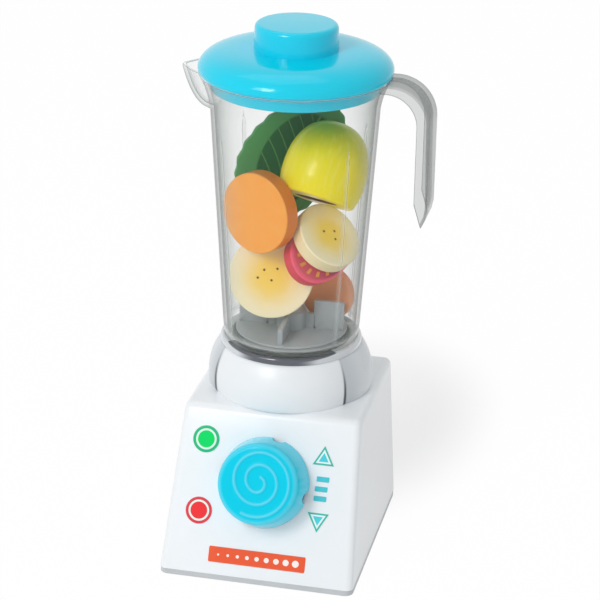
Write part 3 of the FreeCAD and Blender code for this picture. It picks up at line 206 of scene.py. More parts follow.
@dataclass(frozen=True)
class Place:
    """A local frame: its origin and its three axes in the model, in millimetres."""

    origin: Point = (0, 0, 0)
    right: Point = (1, 0, 0)
    up: Point = (0, 1, 0)
    out: Point = (0, 0, 1)

    @classmethod
    def facing(cls, origin: Sequence[float], turn: float, rise: float, spin: float = 0.0) -> "Place":
        """Frame whose third axis starts at -Y, turns towards +X and then rises.

        Args:
            origin: Where the frame lies.
            turn: Degrees from -Y towards +X.
            rise: Degrees above the level.
            spin: Degrees of turn about the third axis.

        Returns:
            The frame.
        """
        a, b, c = (math.radians(degrees) for degrees in (turn, rise, spin))
        out = np.array([math.sin(a) * math.cos(b), -math.cos(a) * math.cos(b), math.sin(b)])
        flat = np.array([math.cos(a), math.sin(a), 0.0])
        upright = np.cross(out, flat)
        right = flat * math.cos(c) + upright * math.sin(c)
        up = upright * math.cos(c) - flat * math.sin(c)
        return cls(tuple(origin), tuple(right), tuple(up), tuple(out))

    def axes(self) -> Array:
        """The three axes as rows."""
        return np.array([self.right, self.up, self.out])

    def put(self, points: Array) -> Array:
        """Points of the frame as points of the model."""
        return points @ self.axes() + np.array(self.origin)

    def moved(self, x: float, y: float) -> "Place":
        """The same frame with its origin moved along its own first two axes."""
        return Place(tuple(self.put(np.array([x, y, 0.0]))), self.right, self.up, self.out)


def node_box(name: str) -> tuple[Array, Array]:
    """Lowest and highest corner of a node's box, in millimetres."""
    low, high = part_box(name)
    return np.array(low) / MM, np.array(high) / MM


def node_span(name: str) -> Array:
    """Side lengths of a node's box, in millimetres."""
    low, high = node_box(name)
    return high - low


# ------------------------------------------------------------------ from arrays to pieces
def grid_faces(rows: int, columns: int, closed_ends: bool) -> Array:
    """Corner numbers of a grid's quads, its columns closed round and its rows too if asked.

    Args:
        rows: Rows of the grid.
        columns: Columns of the grid.
        closed_ends: Whether the last row joins the first.

    Returns:
        Corner numbers, shape (quads, 4).
    """
    row = np.arange(rows if closed_ends else rows - 1)[:, None]
    column = np.arange(columns)
    below, above = row * columns, (row + 1) % rows * columns
    beside = (column + 1) % columns
    return np.stack([below + column, below + beside, above + beside, above + column], -1).reshape(-1, 4)


def enclosed_volume(points: Array, faces: Array) -> float:
    """Six times the volume in a closed mesh: the sum of a . (b x c) over its triangles."""
    a, b, c, d = (points[faces[:, i]] for i in range(4))
    return float(np.sum(a * (np.cross(b, c) + np.cross(c, d))))


def linked(name: str, data: bpy.types.ID) -> bpy.types.Object:
    """A new object that holds the data, linked to the scene."""
    bpy.context.scene.collection.objects.link(bpy.data.objects.new(name, data))
    return bpy.data.objects[name]


@dataclass
class Piece:
    """One visible piece: closed grids of points that share a finish and a body.

    Points closer than the merge length, in metres, become one.
    """

    name: str
    body: Body
    material: bpy.types.Material
    slot: str
    replaces: tuple[str, ...] = ()
    sharp: float = 34.0
    merge: float = 2e-6
    grids: list[tuple[Array, bool]] = field(default_factory=list)
    painted_shadings: list[Array] = field(default_factory=list)

    def add(self, grid: Array, closed_ends: bool = True, painted_shading: Array | None = None) -> "Piece":
        """Take one more closed grid.

        Args:
            grid: Points in millimetres, shape (rows, columns, 3).
            closed_ends: Whether the last row joins the first.
            painted_shading: Value from nought to one at each point, kept as the attribute "tint".

        Returns:
            The piece itself.
        """
        self.grids.append((grid, closed_ends))
        self.painted_shadings.append(np.zeros(grid.shape[:2]) if painted_shading is None else painted_shading)
        return self

    def mesh(self) -> bpy.types.Mesh:
        """Join the grids in one mesh, with faces outwards and doubles merged.

        Returns:
            The mesh, smooth but for the edges sharper than the piece's angle.
        """
        points, faces, count = [], [], 0
        for grid, closed_ends in self.grids:
            flat = grid.reshape(-1, 3) * MM
            quads = grid_faces(grid.shape[0], grid.shape[1], closed_ends)
            points.append(flat)
            faces.append((quads[:, ::-1] if enclosed_volume(flat, quads) < 0 else quads) + count)
            count += len(flat)
        mesh = bpy.data.meshes.new(self.name)
        mesh.from_pydata(np.concatenate(points).tolist(), [], np.concatenate(faces).tolist())
        painted_shading = mesh.attributes.new("painted_shading", "FLOAT", "POINT")
        painted_shading.data.foreach_set("value", np.concatenate([t.ravel() for t in self.painted_shadings]).astype(np.float32))
        shell = bmesh.new()
        shell.from_mesh(mesh)
        bmesh.ops.remove_doubles(shell, verts=shell.verts, dist=self.merge)
        bmesh.ops.dissolve_degenerate(shell, edges=shell.edges, dist=self.merge / 20)
        shell.to_mesh(mesh)
        shell.free()
        mesh.polygons.foreach_set("use_smooth", np.ones(len(mesh.polygons), bool))
        mesh.set_sharp_from_angle(angle=math.radians(self.sharp))
        mesh.materials.append(self.material)
        mesh.validate()
        return mesh

    def build(self) -> None:
        """Make the object and hand it to the frame."""
        thing = linked(self.name, self.mesh())
        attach(thing, self.body.value)
        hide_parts(*self.replaces)
        LOG.info("%s: %d faces on %s", self.name, len(thing.data.polygons), self.body.value)


# ------------------------------------------------------------------ shader language
class Wire:
    """A shader value: operators on it add Math nodes to its tree."""

    def __init__(self, sheet: "Sheet", socket: bpy.types.NodeSocket) -> None:
        """Wrap an output socket of a tree."""
        self.sheet, self.socket = sheet, socket

    def math(self, operation: str, *others: "Wire | float") -> "Wire":
        """Math node of an operation, with this value first."""
        return self.sheet.math(operation, self, *others)

    __add__ = __radd__ = partialmethod(math, "ADD")
    __mul__ = __rmul__ = partialmethod(math, "MULTIPLY")
    __sub__ = partialmethod(math, "SUBTRACT")
    __truediv__ = partialmethod(math, "DIVIDE")
    __pow__ = partialmethod(math, "POWER")
    __abs__ = partialmethod(math, "ABSOLUTE")

    def __rsub__(self, other: float) -> "Wire":
        """Difference from a number."""
        return self.sheet.math("SUBTRACT", other, self)

    def angle(self, other: "Wire") -> "Wire":
        """Arc tangent of this value over the other."""
        return self.math("ARCTAN2", other)

    def reach(self, other: "Wire") -> "Wire":
        """Square root of the sum of both squares."""
        return (self**2 + other**2) ** 0.5

    def step(self, low: float, high: float) -> "Wire":
        """Smooth step from nought at low to one at high."""
        sockets = {"Value": self, "From Min": low, "From Max": high}
        return self.sheet.wire("MapRange", "Result", {"interpolation_type": "SMOOTHSTEP"}, sockets)

    def band(self, middle: float, half: float, soft: float) -> "Wire":
        """One where the value is within half of the middle, with soft edges."""
        return 1 - abs(self - middle).step(half, half + soft)


class Sheet:
    """Node tree of one material or world."""

    def __init__(self, owner: bpy.types.Material | bpy.types.World) -> None:
        """Start from an empty tree.

        Args:
            owner: The material or world that it belongs to.
        """
        owner.use_nodes = True
        self.owner, self.tree = owner, owner.node_tree
        self.tree.nodes.clear()

    def node(self, kind: str, settings: dict[str, Any], sockets: dict[str | int, Any]) -> bpy.types.Node:
        """Add a node.

        Args:
            kind: The node's type, without its first word.
            settings: Its properties.
            sockets: Values or wires of its inputs, by name or number.

        Returns:
            The node.
        """
        made = self.tree.nodes.new("ShaderNode" + kind)
        for key, value in settings.items():
            setattr(made, key, value)
        for key, value in sockets.items():
            if isinstance(value, Wire):
                self.tree.links.new(value.socket, made.inputs[key])
            else:
                made.inputs[key].default_value = value
        return made

    def wire(self, kind: str, output: str | int, settings: dict[str, Any] | None = None,
             sockets: dict[str | int, Any] | None = None) -> Wire:
        """Add a node and take one of its outputs."""
        return Wire(self, self.node(kind, settings or {}, sockets or {}).outputs[output])

    def math(self, operation: str, *values: "Wire | float") -> Wire:
        """Math node of an operation."""
        return self.wire("Math", 0, {"operation": operation}, dict(enumerate(values)))

    def vector(self, operation: str, *values: Any) -> Wire:
        """Vector Math node of an operation."""
        output = "Value" if operation == "DOT_PRODUCT" else "Vector"
        return self.wire("VectorMath", output, {"operation": operation}, dict(enumerate(values)))

    def mix(self, share: "Wire | float", first: "Wire | Colour", second: "Wire | Colour") -> Wire:
        """Colour between two colours, the second where the share is one."""
        ends = [end if isinstance(end, Wire) else (*linear(end), 1) for end in (first, second)]
        return self.wire("Mix", 2, {"data_type": "RGBA"}, {0: share, 6: ends[0], 7: ends[1]})

    def layers(self, base: "Wire | Colour", value: Wire, *steps: tuple[float, float, Any]) -> Wire:
        """Base colour with further ones laid over it.

        Args:
            base: The first colour.
            value: What the steps are measured by.
            steps: (low, high, colour) of each further colour, which is full above high.

        Returns:
            The colour.
        """
        for low, high, colour in steps:
            base = self.mix(value.step(low, high), base, colour)
        return base

    def place(self, where: Place | None = None) -> Wire:
        """Object coordinates in millimetres, in a local frame if one is given.

        Args:
            where: The frame.

        Returns:
            The coordinates as a vector.
        """
        metres = self.wire("TexCoord", "Object")
        coords = self.wire("VectorMath", "Vector", {"operation": "SCALE"}, {0: metres, "Scale": 1 / MM})
        if where is None:
            return coords
        shifted = self.vector("SUBTRACT", coords, where.origin)
        parts = {i: self.vector("DOT_PRODUCT", shifted, axis) for i, axis in enumerate(where.axes().tolist())}
        return self.wire("CombineXYZ", 0, None, parts)

    def split(self, vector: Wire) -> list[Wire]:
        """The three parts of a vector."""
        made = self.node("SeparateXYZ", {}, {0: vector})
        return [Wire(self, made.outputs[i]) for i in range(3)]

    def noise(self, coords: Wire, size: float, detail: float = 3.0, stretch: Point = (1, 1, 1)) -> Wire:
        """Noise between nought and one whose spots are about size millimetres across."""
        scaled = self.vector("MULTIPLY", coords, tuple(s / size for s in stretch))
        return self.wire("TexNoise", "Fac", None, {"Vector": scaled, "Scale": 1.0, "Detail": detail})

    def painted_shading(self) -> Wire:
        """The piece's own point attribute of painted light and shade."""
        return self.wire("Attribute", "Fac", {"attribute_name": "painted_shading"})

    def rays(self, *names: str) -> Wire:
        """One for rays of some kinds.

        Args:
            names: Outputs of the Light Path node.

        Returns:
            The greatest of them.
        """
        path = self.node("LightPath", {}, {})
        first, *others = (Wire(self, path.outputs[name]) for name in names)
        for other in others:
            first = first.math("MAXIMUM", other)
        return first

    def seen(self) -> Wire:
        """One for rays from the eye, straight or by way of a gloss or a clear wall."""
        return self.rays("Is Camera Ray", "Is Glossy Ray", "Is Transmission Ray")

    def bump(self, height: Wire) -> Wire:
        """Normal of a surface with a height in millimetres."""
        return self.wire("Bump", "Normal", None, {"Height": height, "Strength": 1.0, "Distance": MM})

    def shown(self, shader: Wire) -> bpy.types.Material | bpy.types.World:
        """Put a shader on the surface.

        Args:
            shader: The shader.

        Returns:
            The material or world.
        """
        kind = "OutputWorld" if isinstance(self.owner, bpy.types.World) else "OutputMaterial"
        self.node(kind, {}, {"Surface": shader})
        return self.owner


def linear(colour: Sequence[float]) -> tuple[float, ...]:
    """Screen colour of 0 to 255 as linear light, by the usual curve of screens."""
    share = np.asarray(colour, float) / 255
    return tuple(np.where(share < 0.04045, share / 12.92, ((share + 0.055) / 1.055) ** 2.4).tolist())


@dataclass(frozen=True)
class Finish:
    """A plain finish: moulded plastic or metal with faint mottling and fine surface grain."""

    name: str
    colour: Colour
    roughness: float = 0.4
    coat: float = 0.0
    metal: float = 0.0
    coat_roughness: float = 0.06
    mottle: float = 0.025
    mottle_size: float = 24.0
    grain_size: float = 0.5
    grain_depth: float = 0.01
    waves: float = 0.0
    wave_size: float = 30.0
    sheen_size: float = 7.0
    sheen: tuple[float, float] = (0.85, 0.3)
    specular: float = 0.5

    def mottled(self, sheet: Sheet, noise: Wire, colour: Colour, share: float) -> Wire:
        """The colour, darkened to a share of itself where the noise is low."""
        return sheet.mix(noise, tuple(c * share for c in colour), colour)

    def colours(self, sheet: Sheet) -> Wire:
        """Base colour with broad, faint mottling."""
        noise = sheet.noise(sheet.place(), self.mottle_size)
        return self.mottled(sheet, noise, self.colour, 1 - 3 * self.mottle)

    def surface(self, sheet: Sheet) -> Wire:
        """Principled shader whose roughness varies and whose bump is fine grain on broad waves.

        Args:
            sheet: The material's tree.

        Returns:
            The shader.
        """
        coords = sheet.place()
        low, gain = (share * self.roughness for share in self.sheen)
        height = sheet.noise(coords, self.grain_size, 2.0) * self.grain_depth
        if self.waves:
            height = height + sheet.noise(coords, self.wave_size, 1.0) * self.waves
        return sheet.wire("BsdfPrincipled", 0, None, {
            "Base Color": self.colours(sheet),
            "Roughness": sheet.noise(coords, self.sheen_size) * gain + low,
            "Normal": sheet.bump(height),
            "Coat Weight": self.coat,
            "Coat Roughness": self.coat_roughness,
            "Metallic": self.metal,
            "Specular IOR Level": self.specular,
        })

    def material(self) -> bpy.types.Material:
        """The finish as a material."""
        sheet = Sheet(bpy.data.materials.new(self.name))
        return sheet.shown(self.surface(sheet))


@dataclass(frozen=True)
class FacetedPlastic(Finish):
    """Collar plastic with painted shade: its side facets deepen towards the creases, which are
    painted dark at their bottom.

    Its point attribute marks the creases.
    """

    # Painted shade colours of the side facets, of their fold towards the creases, and of the creases.
    side: Colour = (222, 227, 231)
    fold_shade: Colour = (198, 204, 209)
    crease: Colour = (70, 75, 80)
    side_angle: float = 35.5
    turn: float = 0.01
    spread: float = 0.4
    full_crease: float = 0.8

    def colours(self, sheet: Sheet) -> Wire:
        """Side facets lie within an angle of the X axis, told by the arc tangent of |y| / |x|.

        Args:
            sheet: The material's tree.

        Returns:
            The base colour.
        """
        x, y, _ = sheet.split(sheet.place())
        angle, limit = abs(y).angle(abs(x)), math.radians(self.side_angle)
        # Painted shade: the side facets darken towards the creases.
        shade = sheet.layers(self.side, angle, (limit - self.spread, limit, self.fold_shade))
        on_side = 1 - angle.step(limit - self.turn, limit + self.turn)
        plain = sheet.mix(on_side, super().colours(sheet), shade)
        # Painted shade along the creases, where the point attribute marks them.
        return sheet.layers(plain, sheet.painted_shading(), (0.0, self.full_crease, self.crease))


@dataclass(frozen=True)
class SeatPlastic(Finish):
    """Seat ring: a dark lens at the front and back, white towards the collar's creases."""

    pale: Colour = (206, 211, 215)
    inner: float = 39.4
    outer: float = 41.6
    lens_half: float = 54.0
    bluntness: float = 0.3
    soft: float = 0.15
    tip: float = 0.04

    def colours(self, sheet: Sheet) -> Wire:
        """The lens goes out from the inner radius by a share of the band.

        The share is 1 - (p / half) squared, to the power of the bluntness, at an angle p from
        the Y axis.

        Args:
            sheet: The material's tree.

        Returns:
            The base colour.
        """
        x, y, _ = sheet.split(sheet.place())
        from_y = abs(y).angle(x) - QUARTER
        share = 1 - (from_y / math.radians(self.lens_half)) ** 2
        lens = share.math("MAXIMUM", 0.0) ** self.bluntness * (self.outer - self.inner) + self.inner
        dark = (lens - x.reach(y)).step(-self.soft, self.soft) * share.step(0.0, self.tip)
        return sheet.mix(dark, self.pale, super().colours(sheet))


@dataclass(frozen=True)
class DialPlastic(Finish):
    """Blue plastic with painted highlight, paler on the ridge and the rounded edge, and painted
    shade, dark in the notches.

    Its point attribute is a half on plain surfaces, one on the ridge and nought inside.
    """

    # Painted highlight and painted shade colours.
    pale: Colour = (120, 228, 252)
    dark: Colour = (8, 78, 112)
    pale_share: float = 0.8

    def colours(self, sheet: Sheet) -> Wire:
        """Base colour mixed towards the pale painted highlight above a half and the dark painted shade below
        it.
        """
        base = sheet.mix(sheet.painted_shading().step(0.5, 1.0) * self.pale_share, super().colours(sheet), self.pale)
        return sheet.mix(1 - sheet.painted_shading().step(0.0, 0.5), base, self.dark)


@dataclass(frozen=True)
class ClearPlastic(Finish):
    """Clear moulding, faint where it is seen square on and grey where it is seen edge on: its alpha
    rises there, and its colour turns dark grey as a painted reflection.

    Its point attribute marks painted highlight and shade lines: pale at a half, dark at one.
    """

    body: float = 0.04
    edge: float = 0.9
    power: float = 3.0
    passing: float = 0.03
    index: float = 1.16
    # Painted reflection and highlight: rim is the dark grey of edges seen edge on and of dark lines, line the
    # pale of pale lines.
    rim: Colour = (44, 50, 58)
    line: Colour = (244, 248, 248)
    line_body: float = 0.7
    edge_reflection_from: tuple[float, float] = (0.6, 0.92)
    swell: tuple[float, float] = (18.0, 0.05)
    ripple: tuple[float, float] = (3.0, 0.004)

    def surface(self, sheet: Sheet) -> Wire:
        """Shader whose alpha rises from body to edge with the facing angle to a power.

        Light on its way to other surfaces passes with little loss, as it does through a thin wall.

        Args:
            sheet: The material's tree.

        Returns:
            The shader.
        """
        coords, lit = sheet.place(), sheet.painted_shading()
        light = sheet.rays("Is Shadow Ray", "Is Diffuse Ray")
        facing = sheet.wire("LayerWeight", "Facing", None, {"Blend": 0.5})
        (swell, high), (ripple, low) = self.swell, self.ripple
        wave = sheet.noise(coords, swell, 1.0) * high + sheet.noise(coords, ripple, 2.0) * low
        veil = facing**self.power * (self.edge - self.body) + self.body
        # Painted reflection: the colour turns dark grey where the wall is seen edge on.
        wall = sheet.layers(self.colour, facing, (*self.edge_reflection_from, self.rim))
        # Painted highlight and shade lines: pale where the point attribute is a half, dark where it is one.
        return sheet.wire("BsdfPrincipled", 0, None, {
            "Base Color": sheet.layers(wall, lit, (0.0, 0.5, self.line), (0.6, 0.95, self.rim)),
            "Roughness": self.roughness,
            "Normal": sheet.bump(wave),
            "Alpha": veil.math("MAXIMUM", lit * self.line_body) * (1 - light) + light * self.passing,
            "IOR": self.index,
            "Coat Weight": self.coat,
        })


@dataclass(frozen=True)
class Framed(Finish):
    """A finish whose shapes are told apart in a local frame."""

    place: Place = Place()

    def own(self, sheet: Sheet) -> list[Wire]:
        """The three coordinates in that frame."""
        return sheet.split(sheet.place(self.place))


@dataclass(frozen=True)
class PaintedWood(Framed):
    """Painted wooden play food, with a cut face and a rim of another colour."""

    rim: Colour = (255, 255, 255)
    face_drop: float = 0.6
    face_soft: float = 0.3
    face_shade: float = 0.95
    side_shade: float = 0.93
    wood_size: float = 2.2
    wood_stretch: Point = (0.25, 1.0, 1.0)
    specular: float = 0.22

    def face(self, sheet: Sheet, own: Wire) -> Wire:
        """Colour of the cut face, from coordinates in the slice's frame."""
        return self.mottled(sheet, sheet.noise(own, 16.0), self.colour, self.face_shade)

    def colours(self, sheet: Sheet) -> Wire:
        """Face colour on the cut face and rim colour elsewhere, with faint wood grain.

        Args:
            sheet: The material's tree.

        Returns:
            The base colour.
        """
        own = sheet.place(self.place)
        grain = sheet.noise(own, self.wood_size, 3.0, self.wood_stretch)
        side = self.mottled(sheet, grain, self.rim, self.side_shade)
        start = -self.face_drop - self.face_soft
        return sheet.layers(side, sheet.split(own)[2], (start, -self.face_drop, self.face(sheet, own)))


@dataclass(frozen=True)
class OrangePaint(PaintedWood):
    """Orange slice: faint segments in two depths of orange."""

    segments: int = 9
    flesh: Colour = (252, 166, 66)
    deep: Colour = (249, 150, 44)
    pale: Colour = (252, 176, 84)
    ridge_share: float = 0.35
    pale_share: float = 0.5
    cloud_size: float = 12.0

    def face(self, sheet: Sheet, own: Wire) -> Wire:
        """Colour moves with the cosine of the angle times the number of segments.

        Args:
            sheet: The material's tree.
            own: Coordinates in the slice's frame.

        Returns:
            The colour of the cut face.
        """
        across, along, _ = sheet.split(own)
        ridge = (along.angle(across) * self.segments).math("COSINE") * 0.5 + 0.5
        flesh = sheet.mix(ridge * self.ridge_share, self.flesh, self.deep)
        return sheet.mix(sheet.noise(own, self.cloud_size) * self.pale_share, flesh, self.pale)


@dataclass(frozen=True)
class BananaPaint(PaintedWood):
    """Banana slice: cream edge, golden middle and small brown seeds."""

    radius: float = 24.0
    gold: Colour = (255, 218, 100)
    seeds: tuple[tuple[float, float], ...] = ()
    seed: Colour = (104, 62, 30)
    seed_edge: tuple[float, float] = (0.45, 0.95)
    fade: tuple[float, float] = (0.3, 1.05)
    uneven: tuple[float, float] = (9.0, 5.0)

    def face(self, sheet: Sheet, own: Wire) -> Wire:
        """Gold fades into cream with the distance from the middle, and seeds are dark dots.

        Args:
            sheet: The material's tree.
            own: Coordinates in the slice's frame.

        Returns:
            The colour of the cut face.
        """
        across, along, _ = sheet.split(own)
        size, strength = self.uneven
        away = across.reach(along) + sheet.noise(own, size) * strength
        fade = (share * self.radius for share in self.fade)
        base = sheet.mix(1 - away.step(*fade), self.colour, self.gold)
        for x, y in self.seeds:
            base = sheet.mix(1 - (across - x).reach(along - y).step(*self.seed_edge), base, self.seed)
        return base


@dataclass(frozen=True)
class BerryPaint(PaintedWood):
    """Strawberry slice: dark middle, pink edge and a ring of orange seeds."""

    length: float = 47.0
    width: float = 30.0
    narrowing: float = 0.32
    seeds: int = 15
    blush: Colour = (226, 98, 112)
    heart: Colour = (164, 40, 90)
    pink: Colour = (246, 104, 130)
    seed: Colour = (246, 176, 84)
    heart_from: tuple[float, float] = (-0.4, 0.3)
    pink_from: tuple[float, float] = (0.84, 0.95)
    seed_from: tuple[float, float] = (0.35, 0.7)
    seed_ring: Point = (0.72, 0.07, 0.03)

    def face(self, sheet: Sheet, own: Wire) -> Wire:
        """Bands by q, the distance from the middle as a share of the outline's in that direction.

        Args:
            sheet: The material's tree.
            own: Coordinates in the slice's frame.

        Returns:
            The colour of the cut face.
        """
        across, along, _ = sheet.split(own)
        u = across / (self.length / 2)
        v = along / ((1 - u * self.narrowing) * (self.width / 2))
        q = u.reach(v)
        middle = sheet.layers(self.blush, across / self.length, (*self.heart_from, self.heart))
        base = sheet.layers(middle, q, (*self.pink_from, self.pink))
        beat = (v.angle(u) * self.seeds).math("COSINE")
        return sheet.mix(beat.step(*self.seed_from) * q.band(*self.seed_ring), base, self.seed)


@dataclass(frozen=True)
class PearPaint(PaintedWood):
    """Pear: yellow, with green blushes towards its crown, pale streaks painted as highlights, and a bare
    pocket with a dark rim.
    """

    pocket: tuple[float, float] = (13.0, 6.5)
    yellow: Colour = (244, 226, 0)
    green: Colour = (168, 178, 34)
    highlight_streak: Colour = (244, 236, 120)
    wood: Colour = (214, 190, 120)
    pocket_rim_dark: Colour = (112, 84, 66)
    streak_depth: float = 16.0
    greening: tuple[float, float] = (24.0, 50.0)
    green_share: float = 0.5
    highlight_from: tuple[float, float] = (0.5, 0.68)
    highlight_share: float = 0.22
    face_from: tuple[float, float] = (-2.6, -2.2)
    hollow_edge: tuple[float, float] = (0.9, 0.97)
    pocket_rim_band: Point = (1.0, 0.05, 0.06)

    def colours(self, sheet: Sheet) -> Wire:
        """Yellow turns green with the distance from the cut face; the pocket has its own colour.

        Args:
            sheet: The material's tree.

        Returns:
            The base colour.
        """
        own = sheet.place(self.place)
        across, along, out = sheet.split(own)
        streak = sheet.noise(own, 7.0, 2.0, (1.0, 1.0, 0.4)) * self.streak_depth
        green = (streak - out).step(*self.greening) * self.green_share
        # Painted highlight: pale streaks over the skin.
        highlight_streaks = sheet.noise(own, 5.0, 3.0, (2.2, 2.2, 0.3)).step(*self.highlight_from)
        skin = sheet.mix(green, self.yellow, self.green)
        skin = sheet.mix(highlight_streaks * self.highlight_share, skin, self.highlight_streak)
        oval = (across / self.pocket[0]).reach(along / self.pocket[1])
        on_face = out.step(*self.face_from)
        skin = sheet.mix((1 - oval.step(*self.hollow_edge)) * on_face, skin, self.wood)
        # A darker ring round the pocket's edge on the cut face.
        return sheet.mix(oval.band(*self.pocket_rim_band) * on_face, skin, self.pocket_rim_dark)


@dataclass(frozen=True)
class LeafPaint(PaintedWood):
    """Leaf: deep green with pale veins and a lighter border."""

    half: tuple[float, float] = (40.6, 27.0)
    pitch: float = 9.0
    lean: float = 1.1
    bow: float = 0.012
    rib_edge: tuple[float, float] = (0.35, 0.9)
    vein_band: Point = (0.5, 0.02, 0.03)
    vein_share: float = 0.55
    border_from: tuple[float, float] = (0.7, 0.76)
    dark: Colour = (0, 84, 32)
    green: Colour = (0, 102, 44)
    vein: Colour = (120, 186, 96)
    border: Colour = (74, 150, 80)

    def face(self, sheet: Sheet, own: Wire) -> Wire:
        """Veins: a midrib where y is nought, and side veins at even steps of a bowed x.

        The bowed x is x less 1.1 |y| plus 0.012 y squared.

        Args:
            sheet: The material's tree.
            own: Coordinates in the leaf's frame.

        Returns:
            The colour of the face.
        """
        across, along, _ = sheet.split(own)
        away = abs(along)
        bowed = across - away * self.lean + away * away * self.bow
        side = (bowed / self.pitch).math("FRACT").band(*self.vein_band)
        veins = (1 - away.step(*self.rib_edge)).math("MAXIMUM", side)
        outside = (across / self.half[0]).reach(along / self.half[1]).step(*self.border_from)
        green = sheet.mix(sheet.noise(own, 14.0), self.dark, self.green)
        veined = sheet.mix(veins * (1 - outside) * self.vein_share, green, self.vein)
        return sheet.mix(outside, veined, self.border)


@dataclass(frozen=True)
class Print(Framed):
    """Sticker print in the sticker's own frame, white outside its shapes."""

    border: Colour = (236, 244, 246)
    specular: float = 0.1


@dataclass(frozen=True)
class RingPrint(Print):
    """Round sticker: a disc of colour, a white ring and an outer ring of a second shade."""

    gap: Colour = (232, 252, 242)
    outer: Colour = (82, 205, 150)
    radius: float = 8.1
    bands: tuple[tuple[float, float], ...] = ((0.60, 0.63), (0.74, 0.77), (0.95, 0.98))

    def colours(self, sheet: Sheet) -> Wire:
        """Bands by the distance from the middle as a share of the sticker's radius.

        Args:
            sheet: The material's tree.

        Returns:
            The base colour.
        """
        across, along, _ = self.own(sheet)
        inks = zip(self.bands, (self.gap, self.outer, self.border))
        share = across.reach(along) / self.radius
        return sheet.layers(self.colour, share, *((*band, ink) for band, ink in inks))


@dataclass(frozen=True)
class ArrowPrint(Print):
    """Triangle sticker: a filled triangle inside a thin outline of a second shade."""

    gap: Colour = (236, 252, 252)
    outer: Colour = (70, 190, 170)
    side: float = 14.2
    height: float = 12.0
    upward: bool = True
    bands: tuple[tuple[float, float], ...] = ((0.2, 0.35), (1.2, 1.35), (2.15, 2.3))

    def colours(self, sheet: Sheet) -> Wire:
        """Bands by the least distance to the three sides, worked out from their normals.

        Args:
            sheet: The material's tree.

        Returns:
            The base colour.
        """
        across, along, _ = self.own(sheet)
        rise = along if self.upward else along * -1.0
        flank = abs(across) * -self.height + (self.height / 2 - rise) * (self.side / 2)
        flank = flank / math.hypot(self.height, self.side / 2)
        depth = flank.math("MINIMUM", rise + self.height / 2)
        inks = zip(self.bands, (self.outer, self.gap, self.colour))
        return sheet.layers(self.border, depth, *((*band, ink) for band, ink in inks))


@dataclass(frozen=True)
class DottedPrint(Print):
    """Coral strip with a row of white dots that grow along it, inside a thin white line."""

    size: tuple[float, float] = (57.0, 10.0)
    dots: int = 9
    dot: Colour = (255, 246, 240)
    dot_least: float = 0.35
    dot_growth: float = 1.7
    dot_soft: float = 0.2
    line: tuple[float, float] = (0.5, 0.35)

    def colours(self, sheet: Sheet) -> Wire:
        """Dots sit at even steps, with radii in proportion to their place along the strip.

        Args:
            sheet: The material's tree.

        Returns:
            The base colour.
        """
        across, along, _ = self.own(sheet)
        length, height = self.size
        pitch = length / (self.dots + 1)
        beat = ((across / pitch + 0.5).math("FRACT") - 0.5) * pitch
        radius = (across / length + 0.5) * self.dot_growth
        on_dot = 1 - (beat.reach(along) - radius - self.dot_least).step(0.0, self.dot_soft)
        beyond = abs(across).step(length / 2 - pitch * 0.6, length / 2 - pitch * 0.5)
        base = sheet.mix(on_dot * (1 - beyond), self.colour, self.dot)
        start, end = (height / 2 - inset_by for inset_by in self.line)
        return sheet.layers(base, abs(along), (start, end, self.border))


